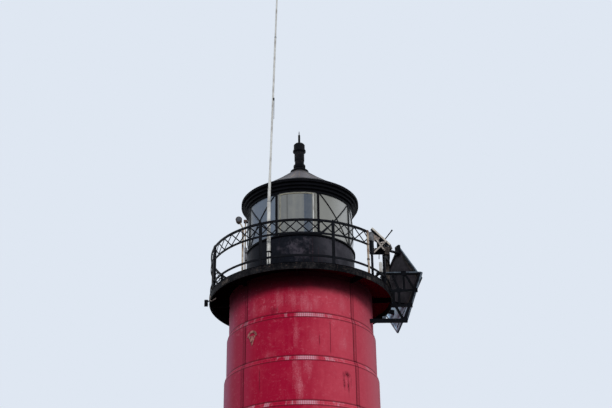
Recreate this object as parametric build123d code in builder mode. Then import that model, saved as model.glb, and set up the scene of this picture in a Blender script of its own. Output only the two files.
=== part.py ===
from build123d import *
import math
import os

os.makedirs("parts", exist_ok=True)

# Harbour pierhead lighthouse, full size, in millimetres.
# The origin is on the tower's axis at the foot of its base ring. +Z is up and the photographed
# side faces -Y. Azimuths count from -Y towards +X.

fit_gap = 0.3          # clearance between pieces that are bolted or clamped together
plate_gap = 0.8        # butt joint between two plates of one course
door_gap = 4.0         # running gap round a closed door

# Tower of flanged plate courses
course_count = 12
course_pitch = 880.0
top_course_height = 871.0
course_step = 40.0     # each course is this much larger in radius than the one above
top_course_radius = 1462.0
shoulder_height = 92.0
plate_thickness = 20.0
plates_per_course = 4
plate_seam_azimuth = 43.0
base_ring_height = 177.0
base_ring_edge_height = 59.0
base_ring_overhang = 70.0
base_ring_depth = 190.0

# Entrance on the side away from the photograph
entrance_width = 800.0
entrance_height = 2050.0
casing_width = 70.0
casing_depth = 260.0
casing_projection = 45.0
casing_stop = 22.0
leaf_thickness = 45.0

# Gallery
gallery_radius = 1880.0
deck_thickness = 12.0
fascia_height = 131.0
fascia_thickness = 16.0
fascia_setback = 4.0
joist_count = 8
joist_depth = 112.0
joist_width = 12.0
joist_azimuth = -2.5

# Parapet and lantern
parapet_radius = 1126.0
parapet_thickness = 16.0
parapet_height = 930.0
hatch_width = 620.0
hatch_height = 800.0
hatch_sill = 60.0
hatch_azimuth = 177.5
hatch_strap_thickness = 8.0
hatch_strap_height = 40.0
hatch_strap_overlap = 80.0  # of a strap on the wall, at each side of the hatch
hatch_pad_inset = 120.0
sill_height = 34.0
sill_projection = 26.0
sill_width = 90.0
glazing_bays = 8
glazing_azimuth = 19.6     # one mullion stands here, and the others follow every bay
glass_radius = 1108.0
glass_thickness = 10.0
glass_height = 956.0
mullion_width = 46.0
mullion_depth = 44.0
diagonal_bar_width = 20.0
diagonal_bar_thickness = 14.0
sash_inset = 26.0
sash_width = 22.0
sash_thickness = 14.0

# Cornice and roof
cornice_radius = 1130.0
cornice_width = 60.0
cornice_steps = 3
cornice_step_out = 40.0
cornice_step_height = 63.0
eave_height = 58.0
roof_rise = 793.0
roof_rings = 3             # rings of sheet metal from the eave to the ventilator
roof_sag = 30.0            # the roof is slightly hollow at the joints of its rings
roof_thickness = 8.0

# Ventilator and lightning rod
vent_skirt_radius = 190.0
vent_skirt_height = 60.0
vent_base_radius = 122.0
vent_base_height = 190.0
vent_collar_radius = 130.0
vent_collar_height = 70.0
vent_neck_radius = 100.0
vent_neck_share = 0.4      # of the neck's height, below its thicker throat
vent_throat_radius = 108.0
vent_neck_height = 320.0
vent_band_radius = 121.0
vent_rim_radius = 140.0
vent_rim_height = 60.0
vent_band_height = 140.0
vent_dome_height = 62.0
rod_radius = 24.0
rod_height = 195.0
rod_tip_height = 100.0

# Balustrade
post_azimuth = 20.3        # one post stands here, almost in line with a mullion
post_width = 48.0
rail_setback = 22.0        # from the gallery's edge to the centre line of posts and rails
top_rail_height = 908.0    # heights of the rail centres over the deck
middle_rail_height = 628.0
low_rail_height = 145.0
top_rail_section = (26.0, 46.0)
middle_rail_section = (20.0, 38.0)
low_rail_section = (20.0, 40.0)
crosses_per_bay = 6
lattice_bar_width = 22.0
lattice_bar_thickness = 8.0
post_knob_radius = 18.0
post_knob_height = 27.0

# Mast
mast_azimuth = -21.3
mast_setback = 158.0       # from the rails' centre line in to the mast
mast_lean = 1.85           # of the upper part, since the lower part is plumb
mast_foot_radius = 70.0
mast_foot_height = 14.0
mast_lower_radius = 37.0
mast_lower_height = 1421.0
mast_taper_height = 860.0
mast_taper_radius = 33.0
mast_upper_radius = 21.0
mast_upper_height = 3160.0
mast_top_radius = 18.0
mast_top_height = 1160.0

# Lamp, sensor, stands and solar panel on the gallery. A rise is a height over the deck.
equipment_setback = 83.0   # from the rails' centre line in to the lamp's pole and the stands
foot_width = 140.0
foot_height = 12.0
lamp_pole_azimuth = -39.9
lamp_pole_radius = 20.0
lamp_pole_height = 985.0
lamp_arm_radius = 14.0
lamp_offset = -84.0        # of the lamp from its pole, along X
lamp_rise = 1155.0
lamp_radius = 60.0
lamp_length = 95.0
sensor_pole_offset = 50.0
sensor_pole_radius = 14.0
sensor_pole_height = 1106.0
sensor_width = 74.0
sensor_height = 44.0
control_box_offset = 15.0  # of the boxes from the sensor's pole, along X
control_box_sizes = ((56.0, 48.0, 97.0), (50.0, 44.0, 125.0))
control_box_rises = (468.0, 325.0)
light_stand_azimuth = 46.3 # on the rails' line: the upper rails end at this stand
light_stand_radius = 22.0
light_stand_over_rail = 30.0
dark_stand_azimuth = 53.7
dark_stand_radius = 25.0
dark_stand_height = 809.0
dark_block_width = 68.0    # of the thicker top of the dark stand
dark_block_height = 288.0
head_box_width = 110.0
head_box_depth = 60.0
head_box_height = 190.0
truss_stand_x = 1725.0
truss_stand_radius = 42.0
panel_length = 505.0
panel_width = 340.0
panel_thickness = 43.0
panel_tilt = 47.0          # slope of the panel, down to the right
panel_lean = 14.0          # lean of the panel towards the photographed side
panel_x = 1701.0
panel_y = -457.0
panel_over_rail = 256.0    # of the panel's middle over the top rail
aerial_place = 60.0        # from the panel's middle, down its slope
aerial_tilt = 53.0
aerial_radius = 12.0
aerial_length = 252.0
aerial_cap_radius = 16.0

# Dayboard outside the gallery, its brackets and arm, and the truss beside it
board_distance = 2000.0    # of the board's back from the tower's axis
board_azimuth = 116.0
board_along = 559.0        # of the board's middle from the foot of that distance
board_rise = 370.0
board_half_diagonal = 943.0
board_turn = 6.9
board_thickness = 20.0
board_bracket_spacing = 420.0
board_bracket_width = 40.0
board_bracket_height = 90.0
board_clamp_width = 150.0
board_clamp_height = 216.0
board_clamp_depth = 50.0
board_clamp_drop = 98.0    # of the clamp's middle below the board's top corner
board_arm_over_rail = 8.0
board_arm_radius = 28.0
truss_y = -500.0
truss_depth = 40.0
truss_bar_width = 46.0
truss_edge_width = 80.0    # of the outer bar and the lowest bar
truss_top_rise = 338.0
truss_deck_arm_rise = -40.0
truss_low_arm_rise = -368.0
truss_foot_rise = -688.0
truss_inner_x = 1560.0
truss_outer_top_x = 2440.0
truss_outer_foot_x = 2071.0
truss_low_post_x = (1870.0, 1980.0)
truss_top_post_x = 2088.0
truss_top_brace_x = (1857.0, 2112.0)
truss_low_brace_x = (1898.0, 2050.0)

# Eye plate on the second course from the top
eye_plate_azimuth = -38.8
eye_plate_drop = 1237.0    # of the arch's centre below the tower's head
eye_plate_thickness = 10.0
eye_arch_radius = 120.0
eye_arch_width = 45.0
eye_tail_width = 176.0
eye_tail_height = 190.0
eye_tail_lap = 8.0
eye_hole_radius = 13.0
eye_hole_places = ((-40.0, -16.0), (40.0, -16.0), (0.0, -113.0))

# Values that follow from the sizes above
tower_foot = base_ring_height
tower_head = tower_foot + (course_count - 1) * course_pitch + top_course_height
deck_top = tower_head + deck_thickness
parapet_top = deck_top + parapet_height
sill_top = parapet_top + sill_height
glass_top = sill_top + glass_height
eave_radius = cornice_radius + cornice_steps * cornice_step_out
eave_bottom = glass_top + cornice_steps * cornice_step_height
eave_top = eave_bottom + eave_height
vent_bottom = eave_top + roof_rise
bay_angle = 360.0 / glazing_bays
rail_radius = gallery_radius - rail_setback
mast_ring_radius = rail_radius - mast_setback
equipment_ring_radius = rail_radius - equipment_setback
panel_rise = top_rail_height + panel_over_rail
board_arm_rise = top_rail_height + board_arm_over_rail
light_stand_height = top_rail_height + light_stand_over_rail


def compass(azimuth):
    """Angle from +X for an azimuth counted from -Y."""
    return azimuth - 90.0


def on_ring(radius, azimuth, height=0.0):
    """Point at a radius, azimuth and height."""
    angle = math.radians(compass(azimuth))
    return (radius * math.cos(angle), radius * math.sin(angle), height)


def facing(radius, azimuth, height=0.0):
    """Plane that faces outwards at a point of a ring, with its x to the right and y upwards."""
    outward = on_ring(1.0, azimuth)
    sideways = on_ring(1.0, azimuth + 90.0)
    return Plane(origin=on_ring(radius, azimuth, height), x_dir=sideways, z_dir=outward)


def course_radius(level):
    """Outer radius of a plate course, where level 1 stands on the base ring."""
    return top_course_radius + (course_count - level) * course_step


def save(part, name):
    part.label = name
    export_step(part, f"parts/{name}.step")


# Tower wall: each plate has a sloping shoulder that carries the smaller course above
casing_outer_width = entrance_width + 2 * casing_width
casing_outer_height = entrance_height + casing_width
for level in range(1, course_count + 1):
    low = tower_foot + (level - 1) * course_pitch
    high = low + course_pitch if level < course_count else tower_head
    outer = course_radius(level)
    inner = outer - plate_thickness
    with BuildPart() as course:
        with BuildSketch(Plane.XZ):
            if level < course_count:
                with BuildLine():
                    Polyline(
                        (inner, low),
                        (outer, low),
                        (outer, high - shoulder_height),
                        (outer - course_step, high),
                        (inner - course_step, high),
                        (inner - course_step, high - plate_thickness),
                        (inner, high - shoulder_height),
                        close=True,
                    )
                make_face()
            else:
                with Locations(((inner + outer) / 2, (low + high) / 2)):
                    Rectangle(plate_thickness, high - low)
        revolve(axis=Axis.Z)
        with Locations((0, 0, (low + high) / 2)):
            with PolarLocations(outer, plates_per_course, compass(plate_seam_azimuth)):
                Box(outer, plate_gap, course_pitch, mode=Mode.SUBTRACT)
        if low < tower_foot + casing_outer_height:
            with Locations((0, outer, tower_foot + casing_outer_height / 2)):
                Box(
                    casing_outer_width + 2 * fit_gap,
                    outer,
                    casing_outer_height + 2 * fit_gap,
                    mode=Mode.SUBTRACT,
                )
    save(course.part, f"tower_course_{level:02d}")

base_radius = course_radius(1)
with BuildPart() as base_ring:
    with BuildSketch(Plane.XZ):
        with BuildLine():
            Polyline(
                (base_radius + base_ring_overhang - base_ring_depth, 0),
                (base_radius + base_ring_overhang, 0),
                (base_radius + base_ring_overhang, base_ring_edge_height),
                (base_radius, base_ring_height),
                (base_radius + base_ring_overhang - base_ring_depth, base_ring_height),
                close=True,
            )
        make_face()
    revolve(axis=Axis.Z)
save(base_ring.part, "base_ring")

floor_radius = base_radius + base_ring_overhang - base_ring_depth - fit_gap
with BuildPart() as ground_floor:
    with BuildSketch(Plane.XY):
        Circle(floor_radius)
    extrude(amount=base_ring_height)
save(ground_floor.part, "ground_floor")

# Entrance: a casing through the wall, with a stop for the closed leaf
casing_front = base_radius + casing_projection
stop_face = casing_front - 2 * casing_projection - leaf_thickness
with BuildPart() as entrance_casing:
    with BuildSketch(Plane.XZ.offset(-casing_front)):
        with Locations((0, tower_foot + casing_outer_height / 2)):
            Rectangle(casing_outer_width, casing_outer_height)
        with Locations((0, tower_foot + entrance_height / 2)):
            Rectangle(entrance_width, entrance_height, mode=Mode.SUBTRACT)
    extrude(amount=casing_depth)
    with BuildSketch(Plane.XZ.offset(-stop_face)):
        with Locations((0, tower_foot + entrance_height / 2)):
            Rectangle(entrance_width, entrance_height)
        with Locations((0, tower_foot + (entrance_height - casing_stop) / 2)):
            Rectangle(
                entrance_width - 2 * casing_stop,
                entrance_height - casing_stop,
                mode=Mode.SUBTRACT,
            )
    extrude(amount=casing_stop)
save(entrance_casing.part, "entrance_casing")

with BuildPart() as entrance_door:
    with BuildSketch(Plane.XZ.offset(-(stop_face + fit_gap + leaf_thickness))):
        with Locations((0, tower_foot + entrance_height / 2)):
            Rectangle(entrance_width - 2 * door_gap, entrance_height - 2 * door_gap)
    extrude(amount=leaf_thickness)
save(entrance_door.part, "entrance_door")

# Gallery
with BuildPart() as deck_plate:
    with BuildSketch(Plane.XY.offset(tower_head)):
        Circle(gallery_radius)
    extrude(amount=deck_thickness)
save(deck_plate.part, "deck_plate")

fascia_radius = gallery_radius - fascia_setback
with BuildPart() as fascia_ring:
    with BuildSketch(Plane.XY.offset(tower_head - fascia_height)):
        Circle(fascia_radius)
        Circle(fascia_radius - fascia_thickness, mode=Mode.SUBTRACT)
    extrude(amount=fascia_height)
save(fascia_ring.part, "fascia_ring")

joist_inner = top_course_radius + fit_gap
joist_outer = fascia_radius - fascia_thickness - fit_gap
with BuildPart() as deck_joists:
    with Locations((0, 0, tower_head - joist_depth / 2)):
        with PolarLocations((joist_inner + joist_outer) / 2, joist_count, compass(joist_azimuth)):
            Box(joist_outer - joist_inner, joist_width, joist_depth)
save(deck_joists.part, "deck_joists")

# Parapet under the lantern, with a hatch on the side away from the photograph
hatch_middle = deck_top + hatch_sill + hatch_height / 2
with BuildPart() as parapet_wall:
    with BuildSketch(Plane.XY.offset(deck_top)):
        Circle(parapet_radius)
        Circle(parapet_radius - parapet_thickness, mode=Mode.SUBTRACT)
    extrude(amount=parapet_height)
    with BuildSketch(facing(parapet_radius / 2, hatch_azimuth, hatch_middle)):
        Rectangle(hatch_width, hatch_height)
    extrude(amount=parapet_radius, mode=Mode.SUBTRACT)
save(parapet_wall.part, "parapet_wall")

strap_span = hatch_width + 2 * hatch_strap_overlap
with BuildPart() as parapet_hatch:
    with BuildSketch(Plane.XY.offset(hatch_middle - hatch_height / 2 + door_gap)):
        Circle(parapet_radius)
        Circle(parapet_radius - parapet_thickness, mode=Mode.SUBTRACT)
    extrude(amount=hatch_height - 2 * door_gap)
    with BuildSketch(facing(parapet_radius / 2, hatch_azimuth, hatch_middle)):
        Rectangle(hatch_width - 2 * door_gap, hatch_height)
    extrude(amount=parapet_radius, mode=Mode.INTERSECT)
    for side in (-1, 1):
        strap_middle = hatch_middle + side * hatch_height / 3
        with BuildSketch(Plane.XY.offset(strap_middle - hatch_strap_height / 2)) as strap:
            Circle(parapet_radius + fit_gap + hatch_strap_thickness)
            Circle(parapet_radius + fit_gap, mode=Mode.SUBTRACT)
            with Locations(on_ring(parapet_radius, hatch_azimuth)[:2]):
                Rectangle(strap_span, parapet_radius, mode=Mode.INTERSECT)
        extrude(amount=hatch_strap_height)
    with BuildSketch(facing(parapet_radius - parapet_thickness / 2, hatch_azimuth, hatch_middle)):
        with Locations((0, -hatch_height / 3), (0, hatch_height / 3)):
            Rectangle(hatch_width - 2 * hatch_pad_inset, hatch_strap_height)
    extrude(amount=parapet_thickness / 2 + hatch_strap_thickness / 2)
save(parapet_hatch.part, "parapet_hatch")

with BuildPart() as sill_ring:
    with BuildSketch(Plane.XY.offset(parapet_top)):
        Circle(parapet_radius + sill_projection)
        Circle(parapet_radius + sill_projection - sill_width, mode=Mode.SUBTRACT)
    extrude(amount=sill_height)
save(sill_ring.part, "sill_ring")

# Lantern glazing
mullion_radius = glass_radius - glass_thickness / 2
with BuildPart() as lantern_glass:
    with BuildSketch(Plane.XY.offset(sill_top)):
        Circle(glass_radius)
        Circle(glass_radius - glass_thickness, mode=Mode.SUBTRACT)
    extrude(amount=glass_height)
    with Locations((0, 0, sill_top + glass_height / 2)):
        with PolarLocations(glass_radius, glazing_bays, compass(glazing_azimuth)):
            Box(glass_radius, mullion_width + 2 * fit_gap, glass_height, mode=Mode.SUBTRACT)
save(lantern_glass.part, "lantern_glass")

with BuildPart() as mullions:
    with Locations((0, 0, sill_top + glass_height / 2)):
        with PolarLocations(mullion_radius, glazing_bays, compass(glazing_azimuth)):
            Box(mullion_depth, mullion_width, glass_height)
save(mullions.part, "mullions")

# Each bay but one has a cross of flat bars, rolled to the curve of the glass
pane_chord = 2 * glass_radius * math.sin(math.radians(bay_angle / 2)) - mullion_width - 2 * fit_gap
bar_lean = math.degrees(math.atan2(pane_chord, glass_height))
with BuildPart() as bar_bay:
    with BuildSketch(Plane.XY.offset(sill_top)):
        Circle(glass_radius + fit_gap + diagonal_bar_thickness)
        Circle(glass_radius + fit_gap, mode=Mode.SUBTRACT)
    extrude(amount=glass_height)
    bar_azimuth = glazing_azimuth + bay_angle / 2
    with BuildSketch(facing(glass_radius / 2, bar_azimuth, sill_top + glass_height / 2)):
        with Locations(Rotation(0, 0, bar_lean), Rotation(0, 0, -bar_lean)):
            Rectangle(diagonal_bar_width, 2 * glass_height)
        Rectangle(pane_chord, glass_height, mode=Mode.INTERSECT)
    extrude(amount=glass_radius, mode=Mode.INTERSECT)
with BuildPart() as diagonal_bars:
    with PolarLocations(0, glazing_bays - 1, angular_range=(glazing_bays - 1) * bay_angle):
        add(bar_bay.part)
save(diagonal_bars.part, "diagonal_bars")

with BuildPart() as bay_sash:
    sash_azimuth = glazing_azimuth - bay_angle / 2
    sash_chord = pane_chord - 2 * sash_inset
    with BuildSketch(Plane.XY.offset(sill_top)):
        Circle(glass_radius + fit_gap + sash_thickness)
        Circle(glass_radius + fit_gap, mode=Mode.SUBTRACT)
    extrude(amount=glass_height)
    with BuildSketch(facing(glass_radius / 2, sash_azimuth, sill_top + glass_height / 2)):
        Rectangle(sash_chord, glass_height)
        Rectangle(sash_chord - 2 * sash_width, glass_height - 2 * sash_width, mode=Mode.SUBTRACT)
    extrude(amount=glass_radius, mode=Mode.INTERSECT)
save(bay_sash.part, "bay_sash")

# Stepped cornice, roof and ventilator
with BuildPart() as cornice_ring:
    with BuildSketch(Plane.XZ):
        for step in range(cornice_steps):
            step_width = cornice_width + step * cornice_step_out
            with Locations(
                (
                    cornice_radius + step * cornice_step_out - step_width / 2,
                    glass_top + (step + 0.5) * cornice_step_height,
                )
            ):
                Rectangle(step_width, cornice_step_height)
    revolve(axis=Axis.Z)
save(cornice_ring.part, "cornice_ring")

roof_line = []
for ring in range(roof_rings + 1):
    share = ring / roof_rings
    sag = roof_sag if 0 < ring < roof_rings else 0.0
    roof_line.append(
        (
            eave_radius + share * (vent_skirt_radius - eave_radius),
            eave_top + share * roof_rise - sag,
        )
    )
roof_inner_radius = vent_base_radius / 2
with BuildPart() as roof_shell:
    with BuildSketch(Plane.XZ):
        with BuildLine():
            Polyline(
                *roof_line,
                (roof_inner_radius, vent_bottom),
                (roof_inner_radius, vent_bottom - roof_thickness),
                *[(radius, height - roof_thickness) for radius, height in roof_line[:0:-1]],
                (eave_radius - roof_thickness, eave_top - roof_thickness),
                (eave_radius - roof_thickness, eave_bottom + roof_thickness),
                (cornice_radius, eave_bottom + roof_thickness),
                (cornice_radius, eave_bottom),
                (eave_radius, eave_bottom),
                close=True,
            )
        make_face()
    revolve(axis=Axis.Z)
save(roof_shell.part, "roof_shell")

vent_base_top = vent_bottom + vent_base_height
with BuildPart() as vent_base:
    with BuildSketch(Plane.XZ):
        with BuildLine():
            Polyline(
                (0, vent_bottom),
                (vent_skirt_radius, vent_bottom),
                (vent_base_radius, vent_bottom + vent_skirt_height),
                (vent_base_radius, vent_base_top - vent_collar_height),
                (vent_collar_radius, vent_base_top - vent_collar_height),
                (vent_collar_radius, vent_base_top),
                (0, vent_base_top),
                close=True,
            )
        make_face()
    revolve(axis=Axis.Z)
save(vent_base.part, "vent_base")

vent_neck_top = vent_base_top + vent_neck_height
vent_band_bottom = vent_neck_top + vent_rim_height
vent_band_top = vent_band_bottom + vent_band_height
vent_top = vent_band_top + vent_dome_height
vent_neck_step = vent_base_top + vent_neck_height * vent_neck_share
dome_curve = (vent_band_radius**2 + vent_dome_height**2) / (2 * vent_dome_height)
dome_line = []
for share in (1.0, 0.8, 0.5):
    reach = share * vent_band_radius
    dome_drop = dome_curve - math.sqrt(dome_curve**2 - reach**2)
    dome_line.append((reach, vent_top - dome_drop))
with BuildPart() as vent_cap:
    with BuildSketch(Plane.XZ):
        with BuildLine():
            Polyline(
                (0, vent_base_top),
                (vent_neck_radius, vent_base_top),
                (vent_neck_radius, vent_neck_step),
                (vent_throat_radius, vent_neck_step),
                (vent_throat_radius, vent_neck_top),
                (vent_rim_radius, vent_neck_top + vent_rim_height / 2),
                (vent_rim_radius, vent_band_bottom),
                (vent_band_radius, vent_band_bottom),
                *dome_line,
                (0, vent_top),
                close=True,
            )
        make_face()
    revolve(axis=Axis.Z)
save(vent_cap.part, "vent_cap")

with BuildPart() as lightning_rod:
    with BuildSketch(Plane.XY.offset(vent_top)):
        Circle(rod_radius)
    extrude(amount=rod_height)
    with Locations((0, 0, vent_top + rod_height)):
        Cone(
            rod_radius / 2,
            rod_radius / 4,
            rod_tip_height,
            align=(Align.CENTER, Align.CENTER, Align.MIN),
        )
save(lightning_rod.part, "lightning_rod")

# Balustrade: posts, and rails and lattice in lengths between them
with BuildPart() as railing_posts:
    post_height = top_rail_height + top_rail_section[1] / 2
    with Locations((0, 0, deck_top + post_height / 2)):
        with PolarLocations(rail_radius, glazing_bays, compass(post_azimuth)):
            Box(post_width, post_width, post_height)
    with Locations((0, 0, deck_top + post_height)):
        with PolarLocations(rail_radius, glazing_bays, compass(post_azimuth)):
            Cone(
                post_knob_radius,
                post_knob_radius / 2,
                post_knob_height,
                align=(Align.CENTER, Align.CENTER, Align.MIN),
            )
save(railing_posts.part, "railing_posts")


def post_slots(middle, height):
    """Cut the room of the posts out of a ring."""
    with Locations((0, 0, middle)):
        with PolarLocations(rail_radius, glazing_bays, compass(post_azimuth)):
            slot = post_width + 2 * fit_gap
            Box(4 * post_width, slot, height, mode=Mode.SUBTRACT)


# The upper rails and the lattice are cut away between the light stand and the next post
with BuildPart() as gallery_opening:
    with BuildSketch(Plane.XY.offset(deck_top + (low_rail_height + middle_rail_height) / 2)):
        with BuildLine():
            Polyline(
                (0, 0),
                on_ring(2 * rail_radius, light_stand_azimuth)[:2],
                on_ring(2 * rail_radius, post_azimuth + bay_angle)[:2],
                close=True,
            )
        make_face()
    extrude(amount=top_rail_height)
    with Locations(on_ring(rail_radius, light_stand_azimuth, deck_top)):
        Cylinder(
            light_stand_radius + fit_gap,
            light_stand_height,
            align=(Align.CENTER, Align.CENTER, Align.MIN),
        )

rails = (
    ("top_rail", ((top_rail_height, top_rail_section),)),
    (
        "lower_rails",
        ((middle_rail_height, middle_rail_section), (low_rail_height, low_rail_section)),
    ),
)
for rail_name, rail_lines in rails:
    with BuildPart() as rail:
        for rail_height, (section_depth, section_width) in rail_lines:
            with BuildSketch(Plane.XZ):
                with Locations((rail_radius, deck_top + rail_height)):
                    Rectangle(section_depth, section_width)
            revolve(axis=Axis.Z)
        post_slots(deck_top + top_rail_height / 2, 2 * top_rail_height)
        add(gallery_opening.part, mode=Mode.SUBTRACT)
    save(rail.part, rail_name)

lattice_low = deck_top + middle_rail_height + middle_rail_section[1] / 2 + fit_gap
lattice_high = deck_top + top_rail_height - top_rail_section[1] / 2 - fit_gap
lattice_height = lattice_high - lattice_low
cross_angle = bay_angle / crosses_per_bay
cross_width = 2 * rail_radius * math.tan(math.radians(cross_angle / 2))
cross_lean = math.degrees(math.atan2(cross_width, lattice_height))
bar_length = math.hypot(cross_width, lattice_height) + 2 * lattice_bar_width
face_radius = rail_radius - lattice_bar_thickness / 2
with BuildPart() as lattice_bay:
    for cross in range(crosses_per_bay):
        azimuth = post_azimuth + (cross + 0.5) * cross_angle
        with BuildSketch(facing(face_radius, azimuth, (lattice_low + lattice_high) / 2)):
            with Locations(Rotation(0, 0, cross_lean), Rotation(0, 0, -cross_lean)):
                Rectangle(lattice_bar_width, bar_length)
            Rectangle(cross_width + lattice_bar_width / 2, lattice_height, mode=Mode.INTERSECT)
        extrude(amount=lattice_bar_thickness)
    post_slots((lattice_low + lattice_high) / 2, 2 * lattice_height)
with BuildPart() as lattice_panels:
    with PolarLocations(0, glazing_bays):
        add(lattice_bay.part)
    add(gallery_opening.part, mode=Mode.SUBTRACT)
save(lattice_panels.part, "lattice_panels")

# Mast on the deck: a plumb lower tube, and an upper one that leans a little to the right
mast_foot_x, mast_foot_y, _ = on_ring(mast_ring_radius, mast_azimuth)
mast_joint = Vector(mast_foot_x, mast_foot_y, deck_top + mast_foot_height + mast_lower_height)
lean = math.radians(mast_lean)
mast_direction = Vector(math.sin(lean), 0, math.cos(lean))


def along_mast(distance):
    """Plane across the upper mast at a distance from the joint."""
    return Plane(origin=mast_joint + mast_direction * distance, z_dir=mast_direction)


with BuildPart() as mast_lower:
    with Locations((mast_foot_x, mast_foot_y, deck_top)):
        Cylinder(
            mast_foot_radius,
            mast_foot_height,
            align=(Align.CENTER, Align.CENTER, Align.MIN),
        )
        Cylinder(
            mast_lower_radius,
            mast_foot_height + mast_lower_height,
            align=(Align.CENTER, Align.CENTER, Align.MIN),
        )
save(mast_lower.part, "mast_lower")

with BuildPart() as mast_upper:
    with BuildSketch(along_mast(0)):
        Circle(mast_taper_radius)
    with BuildSketch(along_mast(mast_taper_height)):
        Circle(mast_upper_radius)
    loft()
    with BuildSketch(along_mast(mast_taper_height)):
        Circle(mast_upper_radius)
    extrude(amount=mast_upper_height)
    with BuildSketch(along_mast(mast_taper_height + mast_upper_height)):
        Circle(mast_top_radius)
    extrude(amount=mast_top_height)
    split(bisect_by=Plane.XY.offset(mast_joint.Z + fit_gap), keep=Keep.TOP)
save(mast_upper.part, "mast_upper")

# Lamp on an arm from its pole, the sensor on a thinner pole beside it, and a stand like them
lamp_pole_x, lamp_pole_y, _ = on_ring(equipment_ring_radius, lamp_pole_azimuth)
lamp_middle = Vector(lamp_pole_x + lamp_offset, lamp_pole_y, deck_top + lamp_rise)
lamp_arm_foot = Vector(lamp_pole_x, lamp_pole_y, deck_top + lamp_pole_height - lamp_arm_radius)
lamp_arm = lamp_middle - lamp_arm_foot
sensor_x = lamp_pole_x + sensor_pole_offset
with BuildPart() as lamp_pole:
    with Locations((lamp_pole_x, lamp_pole_y, deck_top)):
        Box(foot_width, foot_width, foot_height, align=(Align.CENTER, Align.CENTER, Align.MIN))
        Cylinder(
            lamp_pole_radius,
            lamp_pole_height,
            align=(Align.CENTER, Align.CENTER, Align.MIN),
        )
    with Locations((sensor_x, lamp_pole_y, deck_top)):
        Cylinder(
            sensor_pole_radius,
            sensor_pole_height,
            align=(Align.CENTER, Align.CENTER, Align.MIN),
        )
    with BuildSketch(Plane(origin=lamp_arm_foot, z_dir=lamp_arm)):
        Circle(lamp_arm_radius)
    extrude(amount=lamp_arm.length)
    with Locations(lamp_middle):
        Cylinder(
            lamp_radius + fit_gap,
            2 * lamp_length,
            rotation=(90, 0, 0),
            mode=Mode.SUBTRACT,
        )
    with Locations(on_ring(rail_radius, light_stand_azimuth, deck_top)):
        Cylinder(
            light_stand_radius,
            light_stand_height,
            align=(Align.CENTER, Align.CENTER, Align.MIN),
        )
save(lamp_pole.part, "lamp_pole")

with BuildPart() as lamp_head:
    with Locations(lamp_middle):
        Cylinder(lamp_radius, lamp_length, rotation=(90, 0, 0))
    with Locations((sensor_x, lamp_pole_y, deck_top + sensor_pole_height + fit_gap)):
        Box(
            sensor_width,
            sensor_width,
            sensor_height,
            align=(Align.CENTER, Align.CENTER, Align.MIN),
        )
save(lamp_head.part, "lamp_head")

# Small boxes clamped to the front of the sensor's pole, and one on top of the dark stand
with BuildPart() as equipment_boxes:
    box_back = lamp_pole_y - sensor_pole_radius - fit_gap
    for (width, depth, height), rise in zip(control_box_sizes, control_box_rises):
        box_middle = (sensor_x + control_box_offset, box_back - depth / 2, deck_top + rise)
        with Locations(box_middle):
            Box(width, depth, height)
    head_box_middle = deck_top + dark_stand_height + fit_gap + head_box_height / 2
    head_box_front = equipment_ring_radius + dark_stand_radius
    with BuildSketch(facing(head_box_front, dark_stand_azimuth, head_box_middle)):
        Rectangle(head_box_width, head_box_height)
    extrude(amount=-head_box_depth)
save(equipment_boxes.part, "equipment_boxes")

# Dayboard, seen from behind
board_outward = on_ring(1.0, board_azimuth)
board_leftward = on_ring(1.0, board_azimuth + 90)
board_middle = (
    Vector(*on_ring(board_distance, board_azimuth, deck_top + board_rise))
    + Vector(*on_ring(board_along, board_azimuth - 90))
)
board_plane = Plane(origin=board_middle, x_dir=board_leftward, z_dir=board_outward)
board_side = board_half_diagonal * math.sqrt(2)
board_corner_x = -board_half_diagonal * math.sin(math.radians(board_turn))
board_corner_y = board_half_diagonal * math.cos(math.radians(board_turn))
board_clamp_y = board_corner_y - board_clamp_drop
with BuildPart() as dayboard:
    with BuildSketch(board_plane):
        Rectangle(board_side, board_side, rotation=45 + board_turn)
    extrude(amount=board_thickness)
save(dayboard.part, "dayboard")

# Solar panel, carried on a stand whose head is cut to the slope of its back
tilt = math.radians(panel_tilt)
panel_slope = Vector(math.cos(tilt), 0, -math.sin(tilt))
panel_normal = Vector(
    math.sin(tilt), -math.tan(math.radians(panel_lean)), math.cos(tilt)
).normalized()
panel_middle = (panel_x, panel_y, deck_top + panel_rise)
panel_face = Plane(origin=panel_middle, x_dir=panel_slope, z_dir=panel_normal)
with BuildPart() as solar_panel:
    with BuildSketch(panel_face):
        Rectangle(panel_length, panel_width)
    extrude(amount=-panel_thickness)
save(solar_panel.part, "solar_panel")

aerial_direction = Vector(
    math.cos(math.radians(aerial_tilt)), 0, math.sin(math.radians(aerial_tilt))
)
aerial_foot = panel_face.from_local_coords(Vector(aerial_place, 0, 0))
with BuildPart() as aerial:
    with BuildSketch(Plane(origin=aerial_foot, z_dir=aerial_direction).offset(-aerial_radius)):
        Circle(aerial_radius)
    extrude(amount=aerial_radius + aerial_length)
    with BuildSketch(Plane(origin=aerial_foot, z_dir=aerial_direction).offset(aerial_length)):
        Circle(aerial_cap_radius)
    extrude(amount=2 * aerial_cap_radius)
    split(bisect_by=panel_face.offset(fit_gap), keep=Keep.TOP)

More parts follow.
